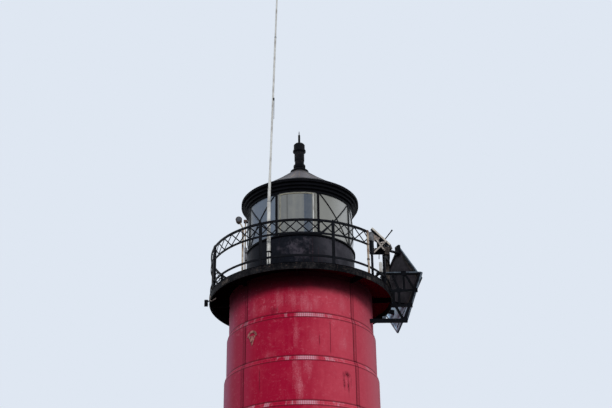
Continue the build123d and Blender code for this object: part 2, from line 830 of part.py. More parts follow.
# Stands: one behind the truss carries the panel and an arm to the clamp at the board's top
truss_stand_y = truss_y + truss_depth / 2 + fit_gap + truss_stand_radius
board_arm_foot = Vector(truss_stand_x, truss_stand_y, deck_top + board_arm_rise)
board_arm_end = board_plane.from_local_coords(
    Vector(board_corner_x, board_clamp_y - board_clamp_height / 4, 0)
)
board_arm = board_arm_end - board_arm_foot
dark_block_middle = deck_top + dark_stand_height - dark_block_height / 2
with BuildPart() as equipment_stands:
    with Locations((truss_stand_x, truss_stand_y, deck_top)):
        Cylinder(
            truss_stand_radius,
            2 * top_rail_height,
            align=(Align.CENTER, Align.CENTER, Align.MIN),
        )
    split(bisect_by=panel_face.offset(-panel_thickness - fit_gap), keep=Keep.BOTTOM)
    with BuildSketch(Plane(origin=board_arm_foot, z_dir=board_arm)):
        Circle(board_arm_radius)
    extrude(amount=board_arm.length)
    split(bisect_by=board_plane.offset(-board_clamp_depth - 2 * fit_gap), keep=Keep.BOTTOM)
    with Locations(on_ring(equipment_ring_radius, dark_stand_azimuth, deck_top)):
        Cylinder(
            dark_stand_radius,
            dark_stand_height,
            align=(Align.CENTER, Align.CENTER, Align.MIN),
        )
    with BuildSketch(facing(equipment_ring_radius, dark_stand_azimuth, dark_block_middle)):
        Rectangle(dark_block_width, dark_block_height)
    extrude(amount=dark_block_width / 2, both=True)
    add(aerial.part)
save(equipment_stands.part, "equipment_stands")

# Truss beside the board, from the tower wall and the fascia out to the board's right corner
truss_top = deck_top + truss_top_rise
truss_deck_arm = deck_top + truss_deck_arm_rise
truss_low_arm = deck_top + truss_low_arm_rise
truss_foot = deck_top + truss_foot_rise


def outer_bar_x(height):
    """Where the outer bar's centre line stands at a height."""
    share = (height - truss_foot) / (truss_top - truss_foot)
    return truss_outer_foot_x + share * (truss_outer_top_x - truss_outer_foot_x)


deck_arm_end = (outer_bar_x(truss_deck_arm), truss_deck_arm)
low_arm_end = (outer_bar_x(truss_low_arm), truss_low_arm)
foot_end = (truss_outer_foot_x, truss_foot)
truss_bars = (
    ((truss_inner_x, truss_top), (truss_outer_top_x, truss_top), truss_bar_width),
    ((truss_outer_top_x, truss_top), foot_end, truss_edge_width),
    ((0, truss_foot), foot_end, truss_edge_width),
    ((0, truss_deck_arm), deck_arm_end, truss_bar_width),
    ((truss_low_post_x[0], truss_low_arm), low_arm_end, truss_bar_width),
    ((truss_low_post_x[0], truss_deck_arm), (truss_low_post_x[0], truss_low_arm), truss_bar_width),
    ((truss_low_post_x[1], truss_deck_arm), (truss_low_post_x[1], truss_low_arm), truss_bar_width),
    ((truss_top_post_x, truss_top), (truss_top_post_x, truss_deck_arm), truss_bar_width),
    ((truss_top_brace_x[0], truss_top), (truss_low_post_x[1], truss_deck_arm), truss_bar_width),
    ((truss_top_brace_x[1], truss_top), deck_arm_end, truss_bar_width),
    ((truss_low_brace_x[0], truss_low_arm), (truss_low_brace_x[1], truss_foot), truss_bar_width),
)
with BuildPart() as dayboard_truss:
    with BuildSketch(Plane.XZ.offset(-truss_y - truss_depth / 2)):
        for start, end, width in truss_bars:
            length = math.dist(start, end)
            middle = ((start[0] + end[0]) / 2, (start[1] + end[1]) / 2)
            turn = math.degrees(math.atan2(end[1] - start[1], end[0] - start[0]))
            with Locations(Location((*middle, 0), (0, 0, turn))):
                Rectangle(length + truss_bar_width, width)
    extrude(amount=truss_depth)
    with Locations((0, 0, tower_head - top_course_height)):
        Cylinder(
            top_course_radius + fit_gap,
            top_course_height - fascia_height - fit_gap,
            align=(Align.CENTER, Align.CENTER, Align.MIN),
            mode=Mode.SUBTRACT,
        )
    with Locations((0, 0, tower_head - fascia_height - fit_gap)):
        Cylinder(
            fascia_radius + fit_gap,
            fascia_height + fit_gap,
            align=(Align.CENTER, Align.CENTER, Align.MIN),
            mode=Mode.SUBTRACT,
        )
    for side in (-1, 1):
        reach = Vector(*on_ring(board_along + side * board_bracket_spacing / 2, board_azimuth - 90))
        bracket_foot = Vector(0, 0, tower_head - fascia_height / 2) + reach
        with BuildSketch(
            Plane(origin=bracket_foot, x_dir=board_leftward, z_dir=board_outward)
        ):
            Rectangle(board_bracket_width, board_bracket_height)
        extrude(amount=board_distance)
    with Locations((0, 0, tower_head - fascia_height / 2)):
        Cylinder(fascia_radius + fit_gap, fascia_height, mode=Mode.SUBTRACT)
    with BuildSketch(board_plane.offset(-fit_gap)):
        with Locations((board_corner_x, board_clamp_y)):
            Rectangle(board_clamp_width, board_clamp_height)
    extrude(amount=-board_clamp_depth)
    split(bisect_by=board_plane.offset(-fit_gap), keep=Keep.BOTTOM)
save(dayboard_truss.part, "dayboard_truss")

# Eye plate bolted to the wall: an open arch over a pointed tail with three holes
eye_course_radius = top_course_radius + course_step
eye_plate_middle = tower_head - eye_plate_drop
with BuildPart() as eye_plate:
    with BuildSketch(facing(eye_course_radius / 2, eye_plate_azimuth, eye_plate_middle)):
        Circle(eye_arch_radius)
        Circle(eye_arch_radius - eye_arch_width, mode=Mode.SUBTRACT)
        with Locations((0, -eye_arch_radius)):
            Rectangle(2 * eye_arch_radius, 2 * eye_arch_radius, mode=Mode.SUBTRACT)
        with BuildLine():
            Polyline(
                (-eye_tail_width / 2, eye_tail_lap),
                (eye_tail_width / 2, eye_tail_lap),
                (0, -eye_tail_height),
                close=True,
            )
        make_face()
        with Locations(*eye_hole_places):
            Circle(eye_hole_radius, mode=Mode.SUBTRACT)
    extrude(amount=eye_course_radius)
    with BuildSketch(Plane.XY.offset(eye_plate_middle - 2 * eye_tail_height)):
        Circle(eye_course_radius + fit_gap + eye_plate_thickness)
        Circle(eye_course_radius + fit_gap, mode=Mode.SUBTRACT)
    extrude(amount=4 * eye_tail_height, mode=Mode.INTERSECT)
save(eye_plate.part, "eye_plate")
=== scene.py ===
import math
from functools import partial

import bmesh
import bpy
from mathutils import Matrix, Vector


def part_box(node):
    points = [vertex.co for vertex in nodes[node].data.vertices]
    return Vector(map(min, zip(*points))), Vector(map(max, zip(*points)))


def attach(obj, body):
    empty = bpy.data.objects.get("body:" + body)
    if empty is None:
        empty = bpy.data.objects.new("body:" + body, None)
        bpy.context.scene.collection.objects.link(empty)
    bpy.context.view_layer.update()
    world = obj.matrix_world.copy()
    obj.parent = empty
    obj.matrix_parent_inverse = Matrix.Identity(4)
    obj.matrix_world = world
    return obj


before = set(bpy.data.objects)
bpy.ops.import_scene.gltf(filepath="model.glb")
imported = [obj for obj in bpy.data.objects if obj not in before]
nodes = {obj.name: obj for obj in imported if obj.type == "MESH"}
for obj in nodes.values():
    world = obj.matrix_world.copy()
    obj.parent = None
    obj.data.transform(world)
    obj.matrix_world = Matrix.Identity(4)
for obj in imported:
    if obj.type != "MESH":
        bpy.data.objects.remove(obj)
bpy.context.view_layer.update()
print("frame loaded:", len(nodes), "nodes")

# Azimuths are in degrees from -Y, the photographed side, towards +X


def onRing(radius, azimuth, height=0.0):
    angle = math.radians(azimuth)
    return Vector((radius * math.sin(angle), -radius * math.cos(angle), height))


# Camera first: it stands low and looks up at the gallery
cameraView = {"place": (0.0, -22.2555, 1.3583), "pitch": 27.528, "yaw": 0.3395, "roll": 0.7737, "lens": 68.8}
bpy.ops.object.camera_add(location=cameraView["place"])
camera = bpy.context.object
aim = Matrix.Rotation(math.radians(-cameraView["yaw"]), 4, "Z")
aim @= Matrix.Rotation(math.radians(90 + cameraView["pitch"]), 4, "X")
aim @= Matrix.Rotation(math.radians(-cameraView["roll"]), 4, "Z")
camera.matrix_world = Matrix.Translation(cameraView["place"]) @ aim
camera.data.lens = cameraView["lens"]
camera.data.sensor_width = 36.0
camera.data.clip_end = 500.0
bpy.context.scene.camera = camera
bpy.context.scene.view_settings.view_transform = "Standard"
print("camera set")


# Working helpers
def startClean():
    if bpy.context.mode != "OBJECT":
        bpy.ops.object.mode_set(mode="OBJECT")
    bpy.ops.object.select_all(action="DESELECT")


def pick(*objects):
    startClean()
    for thing in objects:
        thing.select_set(True)
    bpy.context.view_layer.objects.active = objects[0]


def settle(thing):
    pick(thing)
    bpy.ops.object.transform_apply(location=True, rotation=True, scale=True)


def applyAll(thing):
    pick(thing)
    for modifier in list(thing.modifiers):
        bpy.ops.object.modifier_apply(modifier=modifier.name)


def chooseFaces(thing, test):
    mesh = bmesh.from_edit_mesh(thing.data)
    for face in mesh.faces:
        face.select_set(False)
    for face in mesh.faces:
        if test(face.calc_center_median(), face.normal):
            face.select_set(True)
    mesh.select_flush_mode()
    bmesh.update_edit_mesh(thing.data)


def joined(things):
    if len(things) > 1:
        pick(*things)
        bpy.ops.object.join()
    return things[0]


def finished(things, name, material):
    # one piece at the origin, joined first where it comes as a list
    thing = joined(things) if isinstance(things, list) else things
    settle(thing)
    thing.name = name
    thing.data.name = name
    thing.data.materials.clear()
    thing.data.materials.append(material)
    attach(thing, "root")
    return thing


def moved(thing, place, turn):
    thing.matrix_world = Matrix.Translation(place) @ turn
    settle(thing)
    return thing


def turned(thing, azimuth):
    return moved(thing, (0, 0, 0), Matrix.Rotation(math.radians(azimuth), 4, "Z"))


def aroundAxis(thing, pitch):
    # thing sits at the origin, so an empty turned by one pitch carries the array round the tower
    startClean()
    bpy.ops.object.empty_add()
    hub = bpy.context.object
    hub.rotation_euler.z = math.radians(pitch)
    array = thing.modifiers.new("round", "ARRAY")
    array.count = round(360 / pitch)
    array.use_relative_offset = False
    array.use_object_offset = True
    array.offset_object = hub
    bpy.context.view_layer.update()
    applyAll(thing)
    bpy.data.objects.remove(hub)
    return thing


def softBox(size, edge):
    # a box at the origin with its edges rounded off by a share of its thinnest side
    startClean()
    bpy.ops.mesh.primitive_cube_add(size=1.0)
    box = bpy.context.object
    bpy.ops.object.mode_set(mode="EDIT")
    bpy.ops.transform.resize(value=size)
    bpy.ops.mesh.bevel(offset=edge * min(size), segments=2, affect="EDGES")
    bpy.ops.object.mode_set(mode="OBJECT")
    return box


def plate(size, place, azimuth=0.0):
    # local X runs round the tower, Y points in to its axis and Z up
    return moved(softBox(size, 0.1), place, Matrix.Rotation(math.radians(azimuth), 4, "Z"))


def strut(start, end, width, depth):
    # a square bar between two points
    start, reach = Vector(start), Vector(end) - Vector(start)
    turn = reach.to_track_quat("Z", "Y").to_matrix().to_4x4()
    return moved(softBox((width, depth, reach.length), 0.15), start + reach / 2, turn)


def rodBetween(start, end, radius, sides=12):
    # a round rod with its two ends softened
    start, reach = Vector(start), Vector(end) - Vector(start)
    startClean()
    bpy.ops.mesh.primitive_cylinder_add(vertices=sides, radius=radius, depth=reach.length)
    rod = bpy.context.object
    bpy.ops.object.mode_set(mode="EDIT")
    bpy.ops.mesh.select_mode(type="FACE")
    chooseFaces(rod, lambda centre, normal: abs(normal.z) > 0.9)
    bpy.ops.mesh.bevel(offset=0.12 * radius, segments=2, affect="EDGES")
    bpy.ops.object.mode_set(mode="OBJECT")
    moved(rod, start + reach / 2, reach.to_track_quat("Z", "Y").to_matrix().to_4x4())
    bpy.ops.object.shade_smooth_by_angle(angle=math.radians(40))
    return rod


def stud(start, reach, radius, sides=12):
    # the same, by how far it goes from its start
    return rodBetween(start, Vector(start) + Vector(reach), radius, sides)


# Materials
def paint(text):
    # sRGB hex to linear
    values = [int(text[i : i + 2], 16) / 255 for i in (1, 3, 5)]
    return [v / 12.92 if v <= 0.04045 else ((v + 0.055) / 1.055) ** 2.4 for v in values] + [1.0]


def fill(node, values):
    # a socket is linked, a hex string becomes a colour, and anything else is set as it is
    for key, value in values.items():
        if isinstance(value, bpy.types.NodeSocket):
            node.id_data.links.new(value, node.inputs[key])
        else:
            node.inputs[key].default_value = paint(value) if isinstance(value, str) else value


def addNode(tree, kind, *values, out=0, **settings):
    # values in the order of the node's inputs, or one dictionary of them
    node = tree.nodes.new("ShaderNode" + kind)
    for name, value in settings.items():
        setattr(node, name, value)
    fill(node, values[0] if values and isinstance(values[0], dict) else dict(enumerate(values)))
    return node.outputs[out]


wallRadius = 1.5        # metres: the tower's, near the gallery


def cover(add, *shares):
    # the shares multiplied: each is a value, or a value with the limits between which it eases from 0 to 1
    whole = None
    for share in shares:
        if isinstance(share, tuple):
            share = add("MapRange", *share, interpolation_type="SMOOTHSTEP")
        whole = share if whole is None else add("Math", whole, share, operation="MULTIPLY")
    return whole


def coats(add, colour, *layers):
    # each layer is a tint and the shares that make its cover
    for tint, *shares in layers:
        colour = add("Mix", {0: cover(add, *shares), 6: colour, 7: tint}, data_type="RGBA", out=2)
    return colour


def away(add, value, middle):
    # how far a value is from the middle, to either side
    return add("Math", add("Math", value, middle, operation="SUBTRACT"), operation="ABSOLUTE")


def newMaterial(name):
    material = bpy.data.materials.new(name)
    material.use_nodes = True
    tree = material.node_tree
    return material, partial(addNode, tree), tree.nodes["Principled BSDF"]


def reopened(material):
    # a material to work on further, with the colour it has so far
    tree = material.node_tree
    shader = tree.nodes["Principled BSDF"]
    return partial(addNode, tree), shader, shader.inputs["Base Color"].links[0].from_socket


def wallPlaces(add):
    # place on the round wall: metres round it from -Y towards +X, metres up, and the turn in radians
    spot = add("TexCoord", out="Object")
    x, y, height = add("SeparateXYZ", spot, out=slice(3))
    turn = add("Math", x, cover(add, y, -1), operation="ARCTAN2")
    around = cover(add, turn, wallRadius)
    return spot, around, height, turn


def blotch(add, around, height, azimuth, level, size, ragged):
    # 1 in rags inside an upright oval on the wall, and 0 outside
    offsets = []
    for way, middle, half in zip((around, height), (math.radians(azimuth) * wallRadius, level), size):
        offset = add("Math", way, middle, operation="SUBTRACT")
        offsets.append(add("Math", offset, half, operation="DIVIDE"))
    reach = add("VectorMath", add("CombineXYZ", *offsets), operation="LENGTH", out="Value")
    return add("MapRange", add("Math", ragged, 5.0, reach, operation="MULTIPLY_ADD"), 3.5, 2.5)


courseData = {
    "foot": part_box("tower_course_01")[0].z,
    "pitch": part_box("tower_course_02")[0].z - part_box("tower_course_01")[0].z,
    "shoulder": 0.092,      # metres of height over the slope that ends a course
    "topFoot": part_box("tower_course_12")[0].z,
}

redPaintLook = {
    "deep": "#98092d",
    "dull": "#9c2440",
    # the next tint is a painted sky reflection down the tower's left side
    "edge": "#aa4e6e",
    "paleTone": "#bb4152",
    # the next tint is fade together with painted light on the tower's right side
    "bleachedAndLit": "#c86472",
    "wash": "#cb7380",
    # the next tint is chalk, and also the painted highlight along the seam ledges
    "chalkAndHighlight": "#cda9b6",
    # the next tint is grime, and also painted shade in lines along the seams
    "grimeAndShade": "#3a0a14",
    # painted shade under the gallery: its tint, and the height where it starts
    "sootAndShade": "#240208",
    "galleryShadeFoot": 10.20,      # metres up, under the gallery
    "mottle": 0.30,         # metres across a faded cloud
    "fleck": 0.070,         # metres across the flecks
    "streakWidth": 0.045,   # metres across a washed streak
    "pits": 0.004,          # metres, brush marks and orange peel
    "seamWidth": 0.072,     # metres over an upright seam's strap
    "seamAzimuth": 43.0,
    "rivetPitch": 1.5,      # degrees
    # pale washed places: azimuth, height, half width and half height in metres, strength
    "washes": ((-3.0, 8.60, 0.12, 0.30, 0.42), (-1.0, 8.30, 0.10, 0.22, 0.42),
               (4.0, 8.75, 0.10, 0.22, 0.32), (-3.5, 9.42, 0.06, 0.34, 0.36),
               (9.0, 9.30, 0.10, 0.30, 0.2), (-17.0, 10.12, 0.10, 0.22, 0.4),
               (-6.0, 10.14, 0.12, 0.20, 0.36), (3.0, 10.06, 0.16, 0.24, 0.42),
               (11.0, 10.10, 0.10, 0.16, 0.36), (32.0, 9.30, 0.12, 0.20, 0.3),
               (-30.0, 10.02, 0.12, 0.10, 0.3), (33.0, 10.10, 0.10, 0.20, 0.3),
               (-38.0, 10.05, 0.10, 0.20, 0.25), (-24.0, 9.05, 0.16, 0.10, 0.2)),
    # dark places where the red has bled
    "bleeds": ((33.7, 8.66, 0.10, 0.08, 0.8), (31.2, 8.52, 0.03, 0.19, 0.8), (34.6, 8.50, 0.03, 0.21, 0.8),
               (37.0, 8.54, 0.025, 0.15, 0.7), (-20.0, 9.95, 0.12, 0.10, 0.4)),
    # thin upright dark lines: azimuth, bottom, top
    "thinDarkLines": ((21.6, 9.0, 9.75), (13.2, 9.15, 9.45), (-31.0, 8.3, 8.8)),
}


def makeRedPaint():
    # alkyd paint on rolled steel plate: chalky and pink where sun has worked on it, deep where it has not;
    # painted light adds to the right side, a painted sky reflection runs down the left side, and painted
    # shade lies under the gallery and along the seams
    look = redPaintLook
    pitch, topFoot = courseData["pitch"], courseData["topFoot"]
    material, add, shader = newMaterial("fadedRedAlkydPaint")
    spot, around, height, turn = wallPlaces(add)
    clouds = add("TexNoise", {"Vector": spot, "Scale": 1 / look["mottle"], "Detail": 8.0, "Roughness": 0.68})
    fine = add("TexNoise", {"Vector": spot, "Scale": 42.0, "Detail": 5.0, "Roughness": 0.65})
    thin = cover(add, around, 1 / look["streakWidth"])
    streaks = add("CombineXYZ", thin, 0, cover(add, height, 2.2))
    streaks = add("TexNoise", {"Vector": streaks, "Scale": 0.5, "Detail": 5.0, "Roughness": 0.62})

    fade = cover(add, (turn, -0.2, 0.62), (turn, 1.5, 2.9, 1.0, 0.0))
    fade = add("Math", fade, cover(add, (height, topFoot - 0.02, topFoot + 0.1, 0.0, 0.22)), operation="ADD")
    fade = add("Math", fade, add("MapRange", clouds, 0.36, 0.66, -0.14, 0.17), operation="ADD")
    washedAndLit = add("MapRange", streaks, 0.42, 0.72, -0.04, 0.16)
    fade = add("Math", fade, washedAndLit, operation="ADD", use_clamp=True)
    colour = coats(
        add, look["deep"], (look["paleTone"], fade),
        # fade and painted light on the right side, held back high up as painted shade under the gallery
        (look["bleachedAndLit"], (turn, 0.75, 1.35), (turn, 2.6, 1.7), (height, 10.4, 9.7, 0.2, 1.0)),
        (look["dull"], (turn, -0.60, -0.78), (turn, -2.6, -1.7), 0.8),
        # painted sky reflection down the left side, weaker high up where the gallery shades the wall
        (look["edge"], (turn, -0.98, -1.3), (turn, -2.4, -1.45), (clouds, 0.34, 0.56, 0.72, 1.05),
         (height, 10.35, 9.8, 0.15, 0.9)),
    )

    # pepper of small light and dark flecks, strongest on the top course, and painted shade under the gallery
    pepper = {"Vector": spot, "Scale": 1 / look["fleck"], "Detail": 5.0, "Roughness": 0.72, "Distortion": 0.6}
    pepper = add("TexNoise", pepper)
    there = cover(add, (clouds, 0.38, 0.58, 0.25, 0.9), (height, 9.4, 10.0, 0.42, 1.0))
    sootAndShade = add("Math", add("Math", clouds, -0.5, operation="ADD"), 0.3, height, operation="MULTIPLY_ADD")
    colour = coats(
        add, colour,
        (look["wash"], (pepper, 0.53, 0.68), there, 0.5),
        (look["grimeAndShade"], (pepper, 0.44, 0.32), there, 0.32),
        # painted shade under the gallery, darker further up
        (look["sootAndShade"], (sootAndShade, look["galleryShadeFoot"], look["galleryShadeFoot"] + 0.38, 0.0, 0.85)),
    )
    ragged = cover(add, add("Math", clouds, streaks, operation="ADD"), 0.5)
    for places, tint in (("washes", "wash"), ("bleeds", "grimeAndShade")):
        for azimuth, level, wide, tall, strength in look[places]:
            mask = blotch(add, around, height, azimuth, level, (wide, tall), ragged)
            colour = coats(add, colour, (look[tint], mask, (fine, 0.40, 0.60, 0.5, 1.35), strength))
    for azimuth, low, high in look["thinDarkLines"]:
        line = (away(add, around, math.radians(azimuth) * wallRadius), 0.011, 0.005)
        ends = (height, low, low + 0.1), (height, high, high - 0.1)
        colour = coats(add, colour, (look["grimeAndShade"], line, *ends, 0.6))

    # the sloping seams: chalk and a painted highlight along the ledge in stretches, strongest near the front
    # and dimmed at the rivet pitch, with a painted shade line above and below
    above = add("Math", height, courseData["foot"], operation="SUBTRACT")
    inCourse = add("Math", above, pitch, operation="MODULO")
    ledge = pitch - courseData["shoulder"]
    onLedge = add("Math", inCourse, ledge, operation="GREATER_THAN")
    below = add("Math", height, topFoot + 0.5, operation="LESS_THAN")
    ledgeChalkAndHighlight = add("CombineXYZ", cover(add, around, 3.0), 0, above)
    ledgeChalkAndHighlight = add("TexNoise", {"Vector": ledgeChalkAndHighlight, "Scale": 1.3, "Detail": 4.0, "Roughness": 0.7})
    # the painted highlight is strongest near the front, where the light falls
    front = cover(add, (away(add, turn, 0.06), 0.17, 0.07, 0.0, 0.55))
    ledgeChalkAndHighlight = add("Math", cover(add, (ledgeChalkAndHighlight, 0.50, 0.64, 0.0, 0.46)), front, operation="MAXIMUM")
    ticks = add("Math", cover(add, turn, 360 / look["rivetPitch"]), operation="SINE")
    lower = add("MapRange", inCourse, ledge - 0.028, ledge - 0.006)
    line = cover(add, lower, add("MapRange", inCourse, ledge + 0.010, ledge))
    for start, end in ((0.030, 0.006), (pitch - 0.02, pitch - 0.004)):
        line = add("Math", line, add("MapRange", inCourse, start, end), operation="MAXIMUM")

    # the upright seams: a darker strap between two dark lines, the lines being painted shadow along the
    # strap's edges
    quarter = add("Math", turn, math.radians(45.0 - look["seamAzimuth"] + 360.0), operation="ADD")
    quarter = add("Math", quarter, math.radians(90.0), operation="MODULO")
    aside = cover(add, away(add, quarter, math.radians(45.0)), wallRadius)
    half = look["seamWidth"] / 2
    edge = cover(add, (aside, half - 0.012, half - 0.002), (aside, half + 0.014, half + 0.004), 0.8)
    seam = add("Math", cover(add, (aside, half, half - 0.004, 0.0, 0.28)), edge, operation="MAXIMUM")
    colour = coats(
        add, colour,
        # chalk with a painted highlight on the ledge, dimmed at the rivet pitch
        (look["chalkAndHighlight"], ledgeChalkAndHighlight, onLedge, below, (ticks, 0.2, 0.9, 1.0, 0.35)),
        # painted shade lines above and below the sloping seams, and painted shadow along the strap edges
        (look["grimeAndShade"], line, 0.7), (look["grimeAndShade"], seam),
        (look["chalkAndHighlight"], add("MapRange", fine, 0.66, 0.73, 0, 0.4)),
        (look["grimeAndShade"], add("MapRange", fine, 0.33, 0.28, 0, 0.4)),
    )
    rough = add("MapRange", fade, 0, 1, 0.5, 0.72)
    peel = add("TexNoise", {"Vector": spot, "Scale": 1 / look["pits"], "Detail": 2.0})
    relief = add("Math", clouds, 6.0, peel, operation="MULTIPLY_ADD")
    bump = add("Bump", {"Strength": 0.3, "Distance": 0.002, "Height": relief})
    fill(shader, {"Base Color": colour, "Roughness": rough, "Specular IOR Level": 0.08, "Normal": bump})
    return material


def makeBlackPaint(
    name, base="#0b0c10", worn="#1f2026", rust="#2c1a14", rustShare=0.70, roughness=0.5, gloss=0.07
):
    # oil-based black on iron: salt dust greys it in clouds, and rust shows through in small places
    material, add, shader = newMaterial(name)
    spot = add("TexCoord", out="Object")
    clouds = add("TexNoise", {"Vector": spot, "Scale": 3.2, "Detail": 8.0, "Roughness": 0.65})
    fine = add("TexNoise", {"Vector": spot, "Scale": 26.0, "Detail": 6.0, "Roughness": 0.7})
    grain = add("TexNoise", {"Vector": spot, "Scale": 210.0, "Detail": 2.0})
    dust = add("MapRange", cover(add, clouds, fine), 0.2, 0.42)
    colour = coats(add, base, (worn, dust), (rust, add("MapRange", fine, rustShare, rustShare + 0.06)))
    rough = add("MapRange", dust, 0, 1, roughness - 0.1, roughness + 0.22)
    relief = add("Math", fine, 5.0, grain, operation="MULTIPLY_ADD")
    bump = add("Bump", {"Strength": 0.3, "Distance": 0.0015, "Height": relief})
    fill(shader, {"Base Color": colour, "Roughness": rough, "Specular IOR Level": gloss, "Normal": bump})
    return material


def makeDeckPaint():
    # black on top and red oxide below, where the gallery overhangs, painted nearly black as shade and lighter
    # towards the right as painted light
    material = makeBlackPaint("galleryDeckPaint", gloss=0.0)
    add, shader, black = reopened(material)
    below = add("MapRange", add("SeparateXYZ", add("NewGeometry", out="Normal"), out=2), -0.4, -0.6)
    # near-black painted shade, turning to lighter red oxide towards the right as painted light
    oxideWithPaintedShadeAndLight = coats(add, "#16030a", ("#7d0d24", (wallPlaces(add)[3], -0.1, 0.9)))
    fill(shader, {"Base Color": coats(add, black, (oxideWithPaintedShadeAndLight, below))})
    return material


parapetLook = {
    # tint of the painted sheen on the right side
    "paleTone": "#454349",
    "scuff": "#4a454d",
    "rust": "#4a2a2c",
    "scuffPlace": (-1.0, 11.36, (0.42, 0.19)),     # azimuth, height, half width and half height
    "runWidth": 0.03,
}


def makeParapetPaint():
    # the parapet is greyer towards its right side and round the back as painted sheen, with a scuffed patch
    # and thin runs under the sill
    look = parapetLook
    material = makeBlackPaint("scuffedParapetPaint", "#0f1117", "#1c1e26", gloss=0.05)
    add, shader, colour = reopened(material)
    spot, around, height, turn = wallPlaces(add)
    clouds = add("TexNoise", {"Vector": spot, "Scale": 6.0, "Detail": 6.0, "Roughness": 0.6})
    fine = add("TexNoise", {"Vector": spot, "Scale": 16.0, "Detail": 4.0})
    runs = add("CombineXYZ", add("Math", around, look["runWidth"], operation="DIVIDE"), 0, height)
    runs = add("TexNoise", {"Vector": runs, "Scale": 0.5, "Detail": 3.0})
    scuff = blotch(add, around, height, *look["scuffPlace"], clouds)
    colour = coats(
        add, colour,
        # greyer towards the right and round the back: painted sheen
        (look["paleTone"], (turn, 0.1, 0.7), (clouds, 0.3, 0.6, 0.5, 1.0)),
        (look["scuff"], scuff, (fine, 0.40, 0.58, 0.4, 1.0), 0.8),
        (look["rust"], (runs, 0.6, 0.72), 0.3),
    )
    fill(shader, {"Base Color": colour})
    return material


roofLook = {
    # bleaching, with painted light at the front
    "bleachedAndLit": "#5e5b5e",
    "tan": "#80715f",
    "black": "#09090c",
    "worn": (0.09, 0.24),       # metres above the eave where the bleaching starts and is full
    "sootAndShade": (0.80, 0.70),       # and where soot from the ventilator takes over
}


def makeRoofPaint():
    # black paint on sheet metal, bleached grey-brown up the slope and lightest at the front as painted light,
    # with tan streaks that run down
    look = roofLook
    material = makeBlackPaint("bleachedRoofPaint", look["black"], "#1a1a1e", gloss=0.02)
    add, shader, black = reopened(material)
    spot, _, height, turn = wallPlaces(add)
    clouds = add("TexNoise", {"Vector": spot, "Scale": 5.0, "Detail": 6.0})
    runs = add("CombineXYZ", cover(add, turn, 14.0), 0, height)
    runs = add("TexNoise", {"Vector": runs, "Scale": 1.0, "Detail": 4.0})
    rise = add("Math", height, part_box("roof_shell")[0].z, operation="SUBTRACT")
    # the bleaching is strongest at the front as painted light, and soot takes over near the top
    front, sootAndShade = (away(add, turn, 0.0), 0.75, 0.15, 0.3, 1.0), (rise, *look["sootAndShade"], 0.3, 1.0)
    worn = cover(add, (rise, *look["worn"]), (clouds, 0.25, 0.5, 0.55, 1.0), front, sootAndShade)
    colour = coats(add, black, (look["bleachedAndLit"], worn), (look["tan"], worn, (runs, 0.52, 0.66, 0.0, 0.7)))
    fill(shader, {"Base Color": colour})
    return material


glassLook = {
    "clear": "#434d5c",
    "film": "#85857f",
    "farFilm": "#aaaaa6",
    # painted sky reflection in the left bay
    "leftBaySkyReflection": "#6d7989",
    "blind": "#34332f",
    "blindAzimuth": -13.6,      # of the blind's edge, seen through the glass
    "blueStrip": (8.8, 3.8),    # azimuth and half width in degrees where the film is thin
}


def makeDustyGlass():
    # salt-dusted plate glass: mostly a grey film, darker and bluer where the film is thin, with a painted sky
    # reflection in the left bay
    look = glassLook
    material, add, shader = newMaterial("saltDustedPlateGlass")
    spot, _, height, turn = wallPlaces(add)
    folds = add("CombineXYZ", cover(add, turn, 11.0), 0, cover(add, height, 0.35))
    folds = add("TexNoise", {"Vector": folds, "Scale": 1.0, "Detail": 5.0, "Roughness": 0.6})
    dusty = add("TexNoise", {"Vector": spot, "Scale": 7.0, "Detail": 6.0, "Roughness": 0.7})
    azimuth, half = (math.radians(value) for value in look["blueStrip"])
    film = cover(add, (turn, -0.62, 0.75, 0.05, 1.25))
    for operation, *share in (
        ("MAXIMUM", turn, -0.98, -1.25, 0.0, 0.85),
        ("SUBTRACT", turn, 2.0, 2.9, 0.0, 0.40),
        ("MAXIMUM", away(add, turn, -0.06), 0.46, 0.34, 0.0, 0.72),
        ("SUBTRACT", away(add, turn, azimuth), half + math.radians(1.2), half, 0.0, 0.6),
    ):
        film = add("Math", film, cover(add, tuple(share)), operation=operation)
    film = add("Math", film, add("MapRange", folds, 0.3, 0.7, -0.12, 0.12), operation="ADD")
    film = add("Math", film, add("MapRange", dusty, 0.3, 0.7, -0.1, 0.1), operation="ADD", use_clamp=True)
    # the left bay's clear glass takes a painted sky reflection
    clear = coats(add, look["clear"], (look["leftBaySkyReflection"], (turn, -0.40, -0.50), (turn, -2.9, -2.0)))
    filmed = coats(add, look["film"], (look["farFilm"], (turn, 0.50, 1.0), (turn, 2.9, 2.0)))
    edge = away(add, turn, math.radians(look["blindAzimuth"]))
    colour = coats(add, clear, (filmed, film), (look["blind"], (edge, 0.012, 0.006, 0.0, 0.55)))
    fill(shader, {"Base Color": colour, "Alpha": add("MapRange", film, 0, 1, 0.86, 0.97)})
    fill(shader, {"Roughness": 0.22, "IOR": 1.52, "Specular IOR Level": 0.3})
    return material


def makeWhitePaint():
    # white enamel on tube, yellowed and streaked with rust below the joints
    material, add, shader = newMaterial("whiteTubeEnamel")
    spot = add("TexCoord", out="Object")
    clouds = add("TexNoise", {"Vector": spot, "Scale": 6.0, "Detail": 6.0})
    fine = add("TexNoise", {"Vector": spot, "Scale": 55.0, "Detail": 4.0})
    dirt, rusty = add("MapRange", clouds, 0.42, 0.72), add("MapRange", fine, 0.64, 0.72)
    bump = add("Bump", {"Strength": 0.2, "Distance": 0.001, "Height": fine})
    colour = coats(add, "#cbcac5", ("#98938c", dirt), ("#7a563f", rusty))
    fill(shader, {"Base Color": colour, "Roughness": 0.4, "Normal": bump})
    return material


